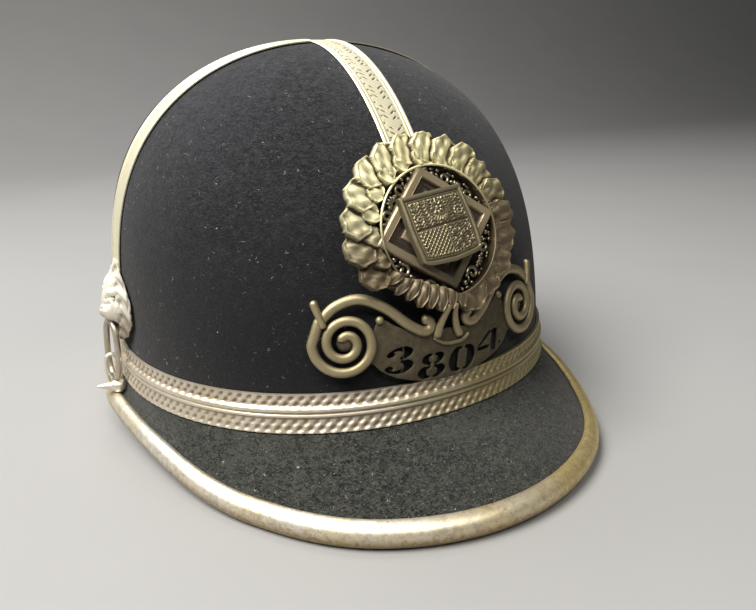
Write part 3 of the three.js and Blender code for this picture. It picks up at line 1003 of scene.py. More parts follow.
@dataclass(frozen=True)
class RimTable:
    """How a peak's rim runs from the middle (0 degrees) to the side (90)."""

    middle: float
    reach: tuple[float, ...]
    drop: tuple[float, ...]
    radius: tuple[float, ...] = (ROLL, ROLL, ROLL, 4.4, 4.0, 4.0)
    angles: tuple[float, ...] = (0, 20, 40, 60, 75, 90)
    stand_off: float = 2.9

    def section(self, turn: Array) -> tuple[Array, Array, Array]:
        """The rim's section at a direction.

        Args:
            turn: direction.

        Returns:
            Distance of its centre from the middle, its height, and its radius.
        """
        away = np.degrees(np.abs(turn - self.middle))
        reach = curve_through(self.angles, self.reach, away)
        drop = np.minimum(curve_through(self.angles, self.drop, away), self.drop[0])
        radius = np.minimum(curve_through(self.angles, self.radius, away), self.radius[0])
        return FORM.plan_radius(turn) + self.stand_off + reach, FORM.base - drop, radius


FRONT_TABLE = RimTable(0.0, (35.8, 30.1, 16.3, 5.9, 3.2, 4.1), ON_FLOOR + (14.2, 11.8, 9.6))
REAR_TABLE = RimTable(math.pi, (25.4, 21.6, 12.6, 5.8, 3.4, 4.1), ON_FLOOR + (14.4, 11.8, 9.6))


@dataclass(frozen=True)
class Peak:
    """One felt peak with its rolled metal rim."""

    side: str
    table: RimTable
    felt: float = 2.3
    root: float = 3.4
    entry: float = 120.0
    slope: float = -38.0
    inside: float = 2.4
    rim_wall: float = 0.9
    seam: float = 0.12
    lips: Pair = (176.0, 466.0)
    roll: Triple = (0.56, 0.6, 0.96)
    shown: Pair = (0.1, 0.92)
    felt_grid: tuple[int, int] = (160, 26)
    rim_grid: tuple[int, int] = (180, 50)

    def turns(self, u: Array) -> Array:
        """Directions from one side to the other."""
        half = math.radians(90 - self.seam)
        return self.table.middle + (2 * u - 1) * half

    def place_felt(self, u: Array, v: Array) -> Array:
        """The peak's upper face.

        Args:
            u: from side to side.
            v: from the root to inside the rim.

        Returns:
            The points.
        """
        turn = self.turns(u)
        out, height, radius = self.table.section(turn)
        centre = np.column_stack([out, height])
        inward = polar(self.slope)
        entry = centre + polar(self.entry) * radius[:, None]
        edge = np.column_stack([FORM.plan_radius(turn) + 2.5, FORM.foot(turn) - 0.35])
        run = np.linalg.norm(entry - edge, axis=1, keepdims=True) / 3
        leave = unit(entry - edge)
        first, last = self.shown
        t = np.clip((v - first) / (last - first), 0, 1)[:, None]
        bezier = (
            (1 - t) ** 3 * edge
            + 3 * t * (1 - t) ** 2 * (edge + leave * run)
            + 3 * t * t * (1 - t) * (entry - inward * run)
            + t**3 * entry
        )
        before = np.clip(1 - v / first, 0, 1)[:, None] * np.array([-self.root, 0])
        after = np.clip((v - last) / (1 - last), 0, 1)[:, None] * inward * self.inside
        flat = bezier + before + after
        return stood_up(turn, flat[:, 0], flat[:, 1])

    def place_rim(self, u: Array, v: Array) -> Array:
        """The rolled rim: round the outside, then back along the inside.

        Args:
            u: from side to side.
            v: once round the roll's section.

        Returns:
            The points.
        """
        turn = self.turns(u)
        out, height, radius = self.table.section(turn)
        first, last = self.lips
        outside, inside, back = self.roll
        v = np.where(v > 0.999, 0, v)
        outer, far_lip, near_lip = v <= outside, (v > outside) & (v < inside), v > back
        share = np.where(outer, v / outside, np.clip((0.98 - v) / 0.4, 0, 1))
        angle = first + (last - first) * share
        resting = outer & (np.abs((angle - 270) / FOOT_HALF) < 1)
        reach = np.where(outer, radius, radius - self.rim_wall)
        reach = np.where(far_lip | near_lip, radius - self.rim_wall / 2, reach)
        angle = np.where(far_lip, last + 3, np.where(near_lip, first - 3, angle))
        cut = radius * math.cos(math.radians(FOOT_HALF)) / np.cos(np.radians(angle - 270))
        level = np.where(resting, cut, reach)
        section = polar(angle) * level[:, None]
        return stood_up(turn, out + section[:, 0], height + section[:, 1])

    def build(self) -> None:
        """Makes the felt and the rim."""
        felt = Bench.sheet(f"felt_{self.side}_peak", *self.felt_grid, self.place_felt)
        Bench.shell(felt, (0, 0, -60), self.felt, 50)
        Bench.finish(felt, FELT_PEAK.material(), Slot.FELT, f"{self.side}_peak")
        rim = Bench.sheet(f"rolled_{self.side}_rim", *self.rim_grid, self.place_rim, merge=True)
        Bench.cap(rim)
        points = Bench.points(rim)
        away = np.arctan2(points[:, 0], -points[:, 1]) - self.table.middle
        away = (away + math.pi) % (2 * math.pi) - math.pi
        _, height, radius = self.table.section(self.table.middle + away)
        up = (points[:, 2] - height) / radius
        # Painted shade: the roll darkens to brown towards its underside.
        Bench.mark(rim, "shade_and_tarnish", 0.8 * (1 - smooth_step(up, -0.5, 0.65)))
        Bench.smooth(rim, 50)
        Bench.finish(rim, RIM_METAL.material(), Slot.NICKEL, f"{self.side}_rim")


# ---- band and strips ---------------------------------------------------------------------


def stamped_pits(
    along: Array, across: Array, pitch: float, rows: Sequence[Triple], size: Triple
) -> Array:
    """Depth of a stamped braid: almond pits in slanted, staggered rows, each over a raised lip.

    Args:
        along: distance along the braid.
        across: distance across it.
        pitch: distance between pits of one row.
        rows: each row's place across, its slant in degrees, and its stagger in pitches.
        size: a pit's half length and half width in pitches, and the lip's height.

    Returns:
        Depth, 1 in the pits and below 0 on the lips.
    """
    half_long, half_wide, lip = size
    depth, lips = np.zeros_like(along), np.zeros_like(along)
    for centre, slant, stagger in rows:
        x = (along / pitch + stagger) % 1 - 0.5
        y = (across - centre) / pitch
        c, s = math.cos(math.radians(slant)), math.sin(math.radians(slant))
        long, wide = x * c + y * s, y * c - x * s
        within = (long / half_long) ** 2 + (wide / half_wide) ** 2
        depth = np.maximum(depth, np.exp(-(within**1.5)))
        below = (wide + 1.6 * half_wide) / (0.6 * half_wide)
        lips = np.maximum(lips, np.exp(-((long / half_long) ** 2) - below**2))
    return depth - lip * lips * (1 - depth)


@dataclass(frozen=True)
class HatBand:
    """Stamped metal band around the crown's foot: two braids beside a double ridge."""

    gap: float = 0.35
    metal: float = 0.95
    pitch: float = 3.71
    cells: int = 168
    columns: int = 1512
    rows: int = 34

    def relief(self, along: Array, level: Array) -> Relief:
        """The stamping.

        Args:
            along: distance around.
            level: 0 at the lower edge and 1 at the upper.

        Returns:
            Height over the metal, and how deep each point lies.
        """
        up = level * FORM.band_height
        lower = [(1.65, 42, 0.0), (3.75, 42, 0.5)]
        upper = [(10.5, 42, 0.25), (12.45, 42, 0.75)]
        pits = stamped_pits(along, up, self.pitch, lower + upper, (0.39, 0.225, 0.4))
        pits = pits * (1 - glow(up, 8.5, 0.95, 6))
        ridges = 1.2 * bump_at(up, 8.35, 1.25) + 0.85 * bump_at(up, 6.2, 0.9)
        edges = 0.35 * (bump_at(up, 0.3, 0.4) + bump_at(up, 13.7, 0.4))
        grooves = glow(up, 7.1, 0.22) + glow(up, 5.2, 0.28)
        # The depth paints shade in the pits, the grooves and the line under the upper ridge.
        deep = 0.75 * np.clip(pits * 1.2 - 0.1, 0, 1) + 0.9 * grooves + 0.45 * glow(up, 9.6, 0.2)
        swell = 0.3 * (bump_at(up, 2.8, 2.3) + bump_at(up, 11.5, 1.8))
        return ridges + edges + swell - 0.6 * pits, np.clip(deep, 0, 1)

    def build(self) -> None:
        """Makes the band."""

        def place(u: Array, v: Array) -> Relief:
            """The band's face.

            Args:
                u: share of a turn.
                v: share up.

            Returns:
                The points, and how deep each lies.
            """
            turn = 2 * np.pi * u
            height, deep = self.relief(u * self.cells * self.pitch, v)
            foot = FORM.foot(turn)
            flare = FORM.flare * (1 - v) ** 2
            out = FORM.plan_radius(turn) + flare + self.gap + self.metal + height
            return stood_up(turn, out, foot + v * FORM.band_height), deep

        band = Bench.stamped("stamped_hat_band", self.columns, self.rows, place)
        Bench.merge(band)
        Bench.face_away(band, MIDDLE)
        self.close_back(band)
        Bench.smooth(band, 60)
        Bench.finish(band, BAND_METAL.material(), Slot.NICKEL, "hat_band")

    def close_back(self, band: Piece) -> None:
        """Turns both edges in to the crown and bridges them behind.

        Args:
            band: the band's face.
        """
        faces = len(band.data.vertices)
        extrude = bpy.ops.mesh.extrude_edges_move
        Bench.edit(
            band,
            bpy.ops.mesh.region_to_loop,
            lambda: extrude(TRANSFORM_OT_translate={"value": (0, 0, 0)}),
        )
        points = Bench.coordinates(band)
        fresh = points[faces:] / MM
        turn = np.arctan2(fresh[:, 0], -fresh[:, 1])
        level = (fresh[:, 2] - FORM.foot(turn)) / FORM.band_height
        out = FORM.plan_radius(turn) + FORM.flare * (1 - level) ** 2 + self.gap
        points[faces:] = stood_up(turn, out, fresh[:, 2]) * MM
        Bench.place(band, points)
        Bench.bridge(band)


@dataclass(frozen=True)
class Strips:
    """The metal strips over the crown: a stamped one lengthwise, and a plain one down each side."""

    width: float = 14.1
    side_width: float = 12.6
    lift: float = 0.1
    metal: float = 0.4
    front_end: float = 62.0
    side_end: float = 47.0
    side_y: float = -3.5
    side_drift: float = -3.2
    lengths: Pair = (300.0, 170.0)
    side_gap: float = 0.45
    rays_from: float = 40.0
    pitch: float = 2.7

    def profile(self, across: Array, along: Array, stamped: bool) -> Relief:
        """The strip's relief.

        Args:
            across: distance from its middle.
            along: distance along it.
            stamped: True for the braid between its borders.

        Returns:
            Height over the strip's back, and how deep each point lies.
        """
        aside = np.abs(across)
        beads = bump_at(aside, 6.25, 0.8) * 0.55 + bump_at(aside, 4.7, 0.45) * 0.25
        # The depth paints shade in the groove beside the beads and, on the stamped strip, in the
        # pits.
        deep = glow(aside, 5.3, 0.25) * 0.55
        height = self.metal + beads
        if stamped:
            rows = [(-1.7, -48, 0.0), (1.7, 48, 0.35)]
            pits = stamped_pits(along, across, self.pitch, rows, (0.44, 0.12, 0.2))
            rows = [(3.2, 0, 0.1), (-3.3, 0, 0.6)]
            dots = stamped_pits(along, across, self.pitch * 1.3, rows, (0.13, 0.13, 0))
            groups = np.sin(2 * np.pi * along / 10.9) > -0.55
            pits = (pits * groups + 0.7 * dots) * (aside < 4.1)
            height = height - 0.3 * pits + 0.15 * bump_at(across, 0, 4)
            deep = np.clip(deep + 1.6 * np.clip(pits, 0, 1), 0, 1)
        else:
            height = height + 0.3 * bump_at(across, 0, 4.2)
        return height, deep

    def lay(
        self, name: str, columns: int, rows: int, headings: Place, origin: Place, stamped: bool
    ) -> None:
        """Lays one strip on the crown.

        Args:
            name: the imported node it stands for.
            columns: faces along it.
            rows: faces across it.
            headings: ray directions from the share along it.
            origin: ray origins from the share along it and the distance across.
            stamped: True for the braid.
        """

        def place(u: Array, v: Array) -> Relief:
            """The strip's face.

            Args:
                u: share along it.
                v: share across it.

            Returns:
                The points, and how deep each lies.
            """
            across = (v - 0.5) * (self.width if stamped else self.side_width)
            u = u * (0.66 + 0.34 * u**2) if stamped else u
            length = self.lengths[0 if stamped else 1]
            height, deep = self.profile(across, u * length, stamped)
            return FORM.lifted(origin(u, across), headings(u, across), self.lift + height), deep

        piece = Bench.stamped("metal_" + name, columns, rows, place)
        Bench.shell(piece, MIDDLE, self.metal, 55)
        Bench.finish(piece, STRIP_METAL.material(), Slot.NICKEL, name)

    def build(self) -> None:
        """Makes the three strips."""
        middle = FORM.base + self.rays_from
        first = math.atan2(self.front_end + FORM.base - middle, FORM.front)
        last = math.pi - math.atan2(SPRING + 1 - middle, FORM.rear)

        def over(u: Array, _: Array) -> Array:
            """Directions from the front over the top to the rear."""
            angle = first + (last - first) * u
            return np.column_stack([np.zeros_like(u), -np.cos(angle), np.sin(angle)])

        def over_from(_: Array, across: Array) -> Array:
            """Where the lengthwise strip's rays start."""
            return np.column_stack([across, np.zeros_like(across), np.full_like(across, middle)])

        self.lay("strip_lengthwise", 1000, 44, over, over_from, True)
        start = math.atan2(FORM.base + self.side_end - middle, FORM.half_width)
        clear = self.width / 2 + self.side_gap
        end = math.pi / 2 - math.atan2(clear, SPRING + FORM.height - middle)
        for name, side in (("strip_left", -1), ("strip_right", 1)):

            def up(u: Array, _: Array, side: int = side) -> Array:
                """Directions up one side."""
                angle = start + (end - start) * u
                return np.column_stack([side * np.cos(angle), np.zeros_like(u), np.sin(angle)])

            def up_from(u: Array, across: Array) -> Array:
                """Where a side strip's rays start.

                Args:
                    u: share along it.
                    across: distance across it.

                Returns:
                    The points.
                """
                angle = start + (end - start) * u
                y = self.side_y + self.side_drift * np.sin(angle) + across
                return np.column_stack([np.zeros_like(y), y, np.full_like(y, middle)])

            self.lay(name, 150, 34, up, up_from, False)


# ---- rods --------------------------------------------------------------------------------


def spline(knots: Sequence[Sequence[float]], count: int) -> Array:
    """A smooth route through knots, at even steps.

    Args:
        knots: the points it passes.
        count: how many points it gets.

    Returns:
        The route.
    """
    points = np.array(knots, float)
    padded = np.vstack([2 * points[0] - points[1], points, 2 * points[-1] - points[-2]])
    runs = []
    for a, b, c, d in zip(padded, padded[1:], padded[2:], padded[3:]):
        t = np.linspace(0, 1, 24, endpoint=False)[:, None]
        bend = 2 * a - 5 * b + 4 * c - d + t * (3 * (b - c) + d - a)
        runs.append(b + 0.5 * t * (c - a + t * bend))
    return evenly(np.vstack([*runs, points[-1:]]), count)


def sampled(at: Array, knots: Array, table: Array) -> Array:
    """Rows read between those of a table."""
    return np.column_stack([np.interp(at, knots, column) for column in table.T])


def coil(eye: Sequence[float], reach: Array, angle: Array) -> Array:
    """A flat route round an eye, from distances and angles in radians."""
    return np.column_stack([eye[0] + reach * np.cos(angle), eye[1] + reach * np.sin(angle)])


def loop(half_across: float, half_up: float, count: int) -> Array:
    """A closed oval, squarer than an ellipse.

    Args:
        half_across: half its width.
        half_up: half its height.
        count: how many points it gets.

    Returns:
        Its even route.
    """
    turn = np.linspace(0, 2 * np.pi, count)
    across, up = (np.sign(wave) * np.abs(wave) ** 0.8 for wave in (np.cos(turn), np.sin(turn)))
    return evenly(np.column_stack([half_across * across, half_up * up]), count)


def evenly(route: Array, count: int) -> Array:
    """A route with its points at even steps.

    Args:
        route: the points.
        count: how many to return.

    Returns:
        The even route.
    """
    lengths = np.concatenate([[0], np.cumsum(np.linalg.norm(np.diff(route, axis=0), axis=1))])
    at = np.linspace(0, lengths[-1], count)
    return sampled(at, lengths, route)


@dataclass(frozen=True)
class Rod:
    """A rod along a route in a flat layout, round or a little flattened, with rounded ends."""

    route: Array
    radius: float
    level: float
    flat: float = 1.0
    taper: Pair = (1.0, 1.0)
    sides: int = 14
    closed: bool = False

    def place(self, u: Array, v: Array) -> Array:
        """Points round the rod.

        Args:
            u: share along the route.
            v: share round the section.

        Returns:
            The points.
        """
        share = np.linspace(0, 1, len(self.route))
        ahead = np.gradient(self.route, axis=0)
        if self.closed:
            ahead[0] = ahead[-1] = self.route[1] - self.route[-2]
        here = sampled(u, share, self.route)
        along = unit(sampled(u, share, ahead))
        size = self.radius * (self.taper[0] + (self.taper[1] - self.taper[0]) * u)
        if not self.closed:
            length = np.linalg.norm(np.diff(self.route, axis=0), axis=1).sum()
            end = np.minimum(u, 1 - u) * length / size
            size = size * np.sqrt(np.clip(1 - np.clip(1 - end, 0, 1) ** 2, 1e-8, 1))
        angle = 2 * np.pi * v
        aside = np.cos(angle) * size
        x = here[:, 0] - along[:, 1] * aside
        y = here[:, 1] + along[:, 0] * aside
        rise = here[:, 2] if here.shape[1] > 2 else self.level
        return np.column_stack([x, y, rise + np.sin(angle) * size * self.flat])

    def make(self, name: str, pieces: int) -> Piece:
        """Makes the rod in its layout.

        Args:
            name: its name.
            pieces: faces along it.

        Returns:
            The rod.
        """
        rod = Bench.sheet(name, pieces, self.sides, self.place, merge=True)
        Bench.outward(rod)
        return rod


def bead(
    name: str,
    place: Sequence[float],
    radius: float,
    flat: float,
    long: float = 1,
    heading: float = 0,
) -> Piece:
    """A small flattened bead or leaf.

    Args:
        name: its name.
        place: its centre.
        radius: its size.
        flat: its height as a share of its radius.
        long: its length as a share of its width.
        heading: direction of its length in degrees.

    Returns:
        The bead.
    """
    sphere = bpy.ops.mesh.primitive_uv_sphere_add
    made = Bench.add(name, sphere, segments=12, ring_count=8, radius=radius * MM)
    turned = Matrix.Rotation(math.radians(heading), 4, "Z") @ Matrix.Diagonal((long, 1, flat, 1))
    made.data.transform(Matrix.Translation(Vector(place) * MM) @ turned)
    return made


def warp(piece: Piece, place: Callable[[Array], Array]) -> None:
    """Moves a finished flat layout to its place on the helmet."""
    Bench.place(piece, place(Bench.points(piece)) * MM)


# ---- badge -------------------------------------------------------------------------------


@dataclass(frozen=True)
class Leaf:
    """One leaf of the wreath, in the badge's plane."""

    x: float
    y: float
    heading: float
    long: float
    wide: float
    level: float
    lobes: int
    turn: float

    def relief(self, x: Array, y: Array) -> Relief:
        """The leaf's height.

        Args:
            x: across the badge.
            y: up the badge.

        Returns:
            Height, and where in the leaf each point lies: 0 at its middle, 1 at its edge.
        """
        c, s = polar(self.heading)
        along = (x - self.x) * c + (y - self.y) * s
        aside = (y - self.y) * c - (x - self.x) * s
        rho = np.hypot(along / self.long, aside / self.wide)
        angle = np.arctan2(aside / self.wide, along / self.long)
        lobes = 1 - np.abs(np.sin(self.lobes * angle / 2 + self.turn))
        q = rho / (0.98 + 0.12 * lobes + 0.06 * glow(angle, 0.15, 0.3))
        folds = np.cos(1.5 * aside + 0.5 * along + self.turn)
        folds = folds + 0.9 * np.cos(0.9 * along - 1.1 * aside + 3 * self.turn)
        folds = folds + 0.35 * np.cos(self.lobes * angle + self.turn) * smooth_step(q, 0.3, 0.9)
        vein = glow(aside, 0, 0.45) * smooth_step(along, -0.3 * self.long, 0.8 * self.long)
        height = self.level + 0.55 * (1 - q**3) + 0.3 * folds - 0.2 * vein + 0.31 * aside
        height = height + 0.4 * smooth_step(q, 0.82, 0.94)
        return height - 6 * smooth_step(q, 0.98, 1.04), q


@dataclass(frozen=True)
class Badge:
    """The round badge: wreath, ground, stepped star and shield."""

    height: float = 64.85
    stand_off: float = 6.8
    lean: float = 22.3
    turn: float = 6.3
    wreath_centre: Pair = (0.3, 2.6)
    ring_centre: Pair = (1.0, -0.3)
    ring_radius: float = 23.2
    back: float = -5.0
    disc_radius: float = 22.9
    disc_thick: float = 0.8
    disc_level: float = -4.4
    curl_size: float = 2.6
    drops: Knots = (
        (7, 19.6, 0.85), (7, 21.9, 0.6), (24.5, 22.0, 0.8),
        (25, 18.9, 0.8), (31, 20.6, 1.1), (37, 22.0, 0.7),
    )
    leaflets: Knots = ((11, 22.2, 80), (24, 20.4, 30), (34, 18.9, 60), (30, 22.5, 100))
    star_radius: float = 23.5
    star_base: float = -3.65
    star_rise: float = 2.9
    star_scale: tuple[float, float, float, float] = (1.07, 0.95, 1, 1)

    def seat(self, face: bool) -> Matrix:
        """From the badge's own plane to the helmet.

        Args:
            face: True for the shield, which is turned a little.

        Returns:
            The matrix, in metres.
        """
        inside = np.array([[0, 0, FORM.base + self.height]])
        origin = FORM.exit(inside, np.array([[0.0, -1.0, 0.0]]))[0]
        lean = math.radians(self.lean)
        up = Vector((0, math.sin(lean), math.cos(lean)))
        out = Vector((0, -math.cos(lean), math.sin(lean)))
        basis = Matrix((Vector((1, 0, 0)), up, out)).transposed().to_4x4()
        place = Vector(origin) + out * self.stand_off
        turned = Matrix.Rotation(math.radians(self.turn), 4, "Z") if face else Matrix.Identity(4)
        return Matrix.Translation(place * MM) @ basis @ turned

    def leaves(self) -> list[Leaf]:
        """The wreath's leaves: an outer row, a small inner row, and narrow ones below.

        Returns:
            The leaves.
        """
        rng = np.random.default_rng(5)
        made = []
        for angle in np.linspace(-72, 206, 17):
            reach = 28.2 - 1.5 * max(0.0, math.sin(math.radians(angle))) + rng.uniform(-0.4, 0.4)
            reach += 2.2 * max(0.0, -math.cos(math.radians(angle)))
            x, y = polar(angle) * reach + self.wreath_centre
            heading = angle - 10 + rng.uniform(-13, 13)
            size = rng.uniform(0.92, 1.08, 2) * (5.4, 6.2)
            level = -1.6 + rng.uniform(-0.5, 0.5)
            made.append(Leaf(x, y, heading, *size, level, 7, rng.uniform(-2, 2)))
            x, y = polar(angle + 8) * 25.6 + (0.7, 0.9)
            level = -0.9 + rng.uniform(-0.4, 0.4)
            made.append(Leaf(x, y, heading + 25, 3.3, 3.6, level, 3, rng.uniform(-1, 1)))
        for index, angle in enumerate(np.linspace(-146, -82, 8)):
            x, y = polar(angle) * (23.2 + 0.6 * (index % 2)) + (0, 0.4)
            heading = angle + rng.uniform(-5, 5)
            made.append(Leaf(x, y, heading, 4.6, 2.0, rng.uniform(-0.4, 0.4), 2, 0.3))
        return made

    def wreath(self) -> None:
        """Makes the wreath with its wire ring."""
        leaves = self.leaves()
        columns, rows = 900, 54
        lowest, farthest, skirt_in, skirt_out = -3.4, 37, 0.06, 0.92

        def uppermost(x: Array, y: Array) -> Relief:
            """The uppermost leaf.

            Args:
                x: across the badge.
                y: up the badge.

            Returns:
                Its height, and where in that leaf each point lies.
            """
            reliefs = [leaf.relief(x, y) for leaf in leaves]
            heights, places = (np.stack(part) for part in zip(*reliefs))
            upper = heights.argmax(axis=0)
            pick = np.arange(len(x))
            return np.maximum(heights[upper, pick], lowest), places[upper, pick]

        around = np.linspace(0, 360, columns + 1)
        dip = glow((around + 114 + 180) % 360 - 180, 0, 26, 4)
        inner = polar(around) * (self.ring_radius + 0.3 - 4.2 * dip)[:, None] + self.ring_centre
        tips = polar(around) * farthest + self.wreath_centre
        shares = np.linspace(0, 1, 180)
        grid = inner[:, None, :] + (tips - inner)[:, None, :] * shares[None, :, None]
        _, spots = uppermost(grid[..., 0].ravel(), grid[..., 1].ravel())
        covered = (spots < 1.02).reshape(grid.shape[:2])
        outermost = len(shares) - 1 - covered[:, ::-1].argmax(axis=1)
        last = shares[np.where(covered.any(axis=1), outermost, len(shares) // 3)]
        smeared = np.concatenate([last[-4:-1], last, last[1:4]])
        last = np.convolve(smeared, np.ones(7) / 7, "valid") * 0.5 + last * 0.5
        outer = inner + (tips - inner) * last[:, None]

        def place(u: Array, v: Array) -> Relief:
            """The leaves, with a skirt down to the back on both sides.

            Args:
                u: once round the badge.
                v: from the inner to the outer side.

            Returns:
                The points, and how deep each lies.
            """
            share = np.clip((v - skirt_in) / (skirt_out - skirt_in), 0, 1)
            ends = [np.interp(u * 360, around, side) for side in (*inner.T, *outer.T, dip)]
            x, y = (ends[i] + (ends[i + 2] - ends[i]) * share for i in (0, 1))
            height, spot = uppermost(x, y)
            fall = np.clip(1 - v / skirt_in, 0, 1)
            fall = fall + np.clip((v - skirt_out) / (1 - skirt_out), 0, 1)
            low = np.where(v < 0.5, self.back - lowest * ends[4], self.back)
            # Painted shade: hollows below the blurred height, the bare ground between leaves, and
            # the skirt.
            grid = height.reshape(rows + 1, columns + 1)
            moves = [(i, j) for i in range(-3, 4) for j in range(-6, 7)]
            blurred = sum(np.roll(grid, move, (0, 1)) for move in moves) / len(moves)
            hollow = np.clip((blurred - grid).ravel() / 0.65 + 0.05, 0, 1)
            deep = np.where(fall > 0, 0.9, np.maximum(hollow, 0.9 * (spot > 1)))
            height = height + (low - height) * fall
            x, y = (at - (at - ends[i]) * 0.3 * fall * (v > 0.5) for i, at in enumerate((x, y)))
            return np.column_stack([x, y, height]), deep

        face = Bench.stamped("leaves", columns, rows, place)
        Bench.merge(face)
        Bench.bridge(face)
        ring = polar(around[::6]) * self.ring_radius + self.ring_centre
        ring = np.column_stack([ring, 0.2 - 2.6 * dip[::6]])
        wire = Rod(ring, 0.42, 0, closed=True, sides=8).make("wire", 150)
        whole = Bench.join("badge_wreath", [face, wire])
        points = Bench.points(whole)
        # Darker and browner away from the top and towards +X: painted shade from light above and to
        # the left, together with tarnish.
        low = np.abs(np.arctan2(points[:, 0] + 3, points[:, 1]))
        shade_and_tarnish = 0.98 * smooth_step(low, 0.6, 2.15) + 0.3 * smooth_step(points[:, 0], 8, 26)
        Bench.mark(whole, "shade_and_tarnish", np.clip(shade_and_tarnish, 0, 0.95))
        whole.data.transform(self.seat(False))
        Bench.smooth(whole, 60)
        Bench.finish(whole, WREATH_METAL.material(), Slot.GILT, "wreath")

    def curl(self, at: Sequence[float], turn: float, size: float, hand: int) -> Array:
        """One curled leaf stem of the ground's ornament.

        Args:
            at: where its eye lies.
            turn: direction of its tail in degrees.
            size: its reach.
            hand: 1 or -1 for the way it curls.

        Returns:
            Its route.
        """
        t = np.linspace(0, 1, 40)
        angle = np.radians(turn) + hand * 2 * np.pi * 1.15 * t
        return coil(at, size * (1 - 0.8 * t), angle)

    def ground(self) -> None:
        """Makes the ground with its curls and beads."""
        parts = [
            Bench.add(
                "disc",
                bpy.ops.mesh.primitive_cylinder_add,
                vertices=96,
                radius=self.disc_radius * MM,
                depth=self.disc_thick * MM,
                location=(0, 0, self.disc_level * MM),
            )
        ]
        for quarter in range(4):
            middle = 45 + self.turn + 90 * quarter
            for hand in (-1, 1):
                angle = middle + hand * 16.5
                route = self.curl(polar(angle) * 19.9, angle + hand * 100, self.curl_size, hand)
                stem = Rod(route, 0.34 * self.curl_size, -2.7, taper=(1, 0.7), sides=8)
                parts.append(stem.make("curl", 30))
                for offset, distance, radius in self.drops:
                    x, y = polar(middle + hand * offset) * distance
                    parts.append(bead("drop", (x, y, -2.6), radius, 1.1))
            for fan in (-56, -28, 0, 28, 56):
                x, y = polar(middle) * 18.3 + polar(middle + fan) * 2.0
                parts.append(bead("leaf", (x, y, -2.8), 0.62, 1.1, 2.1, middle + fan))
            for hand in (-1, 1):
                for offset, distance, swing in self.leaflets:
                    x, y = polar(middle + hand * offset) * distance
                    heading = middle + hand * (offset + swing)
                    parts.append(bead("leaf", (x, y, -3.1), 0.6, 1.0, 1.9, heading))
        whole = Bench.join("badge_ground_ornament", parts)
        # Painted shade: the deeper a part lies, the darker.
        Bench.mark(whole, "recess_shade", np.clip((-2.5 - Bench.points(whole)[:, 2]) / 1.0, 0, 1))
        x, y = self.ring_centre
        whole.data.transform(self.seat(False) @ Matrix.Translation((x * MM, y * MM, 0)))
        Bench.smooth(whole, 50)
        Bench.finish(whole, GROUND_METAL.material(), Slot.GILT, "badge_ground")

    def star(self) -> None:
        """Makes the stepped star frame."""
        star = Bench.add(
            "badge_star",
            bpy.ops.mesh.primitive_circle_add,
            vertices=4,
            radius=self.star_radius * MM,
            fill_type="NGON",
            location=(0, 0, self.star_base * MM),
        )
        move = {"value": (0, 0, self.star_rise * MM)}
        Bench.edit(star, lambda: bpy.ops.mesh.extrude_region_move(TRANSFORM_OT_translate=move))
        steps = [(0.5, 0.75), (0.25, 0.12), (1.95, -0.3), (0.2, 0.15), (0.45, -1.7), (1.3, 0.0)]
        steps += [(0.12, 0.4), (0.35, 0.0), (0.12, -0.35), (1.3, 0.15), (0.3, 0.9)]
        for inward, rise in steps:

            def top(points: Array) -> Array:
                """The innermost ring of the upper face.

                Args:
                    points: the star's vertices in metres.

                Returns:
                    True on the ring.
                """
                inner = np.abs(points[:, :2]).max(axis=1)
                raised = points[:, 2] > (self.star_base + 0.05) * MM
                return raised & (inner <= inner[raised].min() + DOUBLES)

            step = {"thickness": inward * MM, "depth": rise * MM, "use_even_offset": True}
            Bench.edit(
                star,
                lambda: bpy.ops.mesh.select_mode(type="FACE"),
                lambda: bpy.ops.mesh.inset(**step),
                chosen=top,
            )
        Bench.outward(star)
        edge = {"limit_method": "ANGLE", "angle_limit": math.radians(20)}
        Bench.modify(star, "BEVEL", width=0.13 * MM, segments=2, **edge)
        points = Bench.points(star)
        side = np.abs(points[:, 0]) + np.abs(points[:, 1])
        # Painted shade on the lower steps, and painted shade browning the lower side that faces
        # down.
        low = np.clip((-0.55 - points[:, 2]) / 0.5, 0, 1) * (side < 21)
        Bench.mark(star, "recess_shade", 0.08 + 0.8 * low)
        under = -points[:, 1] - 0.5 * np.abs(points[:, 0])
        Bench.mark(star, "shade_and_tarnish", 0.75 * smooth_step(under, -2, 3))
        shift = Matrix.Translation((0.5 * MM, 0.9 * MM, 0))
        seat, turned = self.seat(False), Matrix.Rotation(math.radians(self.turn), 4, "Z")
        star.data.transform(seat @ shift @ Matrix.Diagonal(self.star_scale))
        star.data.transform(seat @ turned @ seat.inverted())
        Bench.smooth(star, 25)
        Bench.finish(star, STAR_METAL.material(), Slot.GILT, "star")

    def motifs(self, x: Array, y: Array) -> Array:
        """The shield's ornament: a rosette between scrolls, over a lattice and trefoils.

        Args:
            x: across the shield.
            y: up the shield.

        Returns:
            Relief from 0 to 1.
        """

        def flower(cx: float, cy: float, count: int, size: float) -> Array:
            """Petals round a knob.

            Args:
                cx: its middle across.
                cy: its middle up.
                count: how many petals.
                size: its radius.

            Returns:
                Its relief.
            """
            r, a = np.hypot(x - cx, y - cy), np.arctan2(y - cy, x - cx)
            petals = smooth_step(size * (0.7 + 0.3 * np.cos(count * a)) - r, 0, 0.5)
            petals = petals * (0.45 + 0.55 * np.abs(np.cos(count * a / 2)))
            petals = petals * smooth_step(r, 0.3 * size, 0.45 * size)
            return np.maximum(petals, bump_at(r, 0, 0.26 * size))

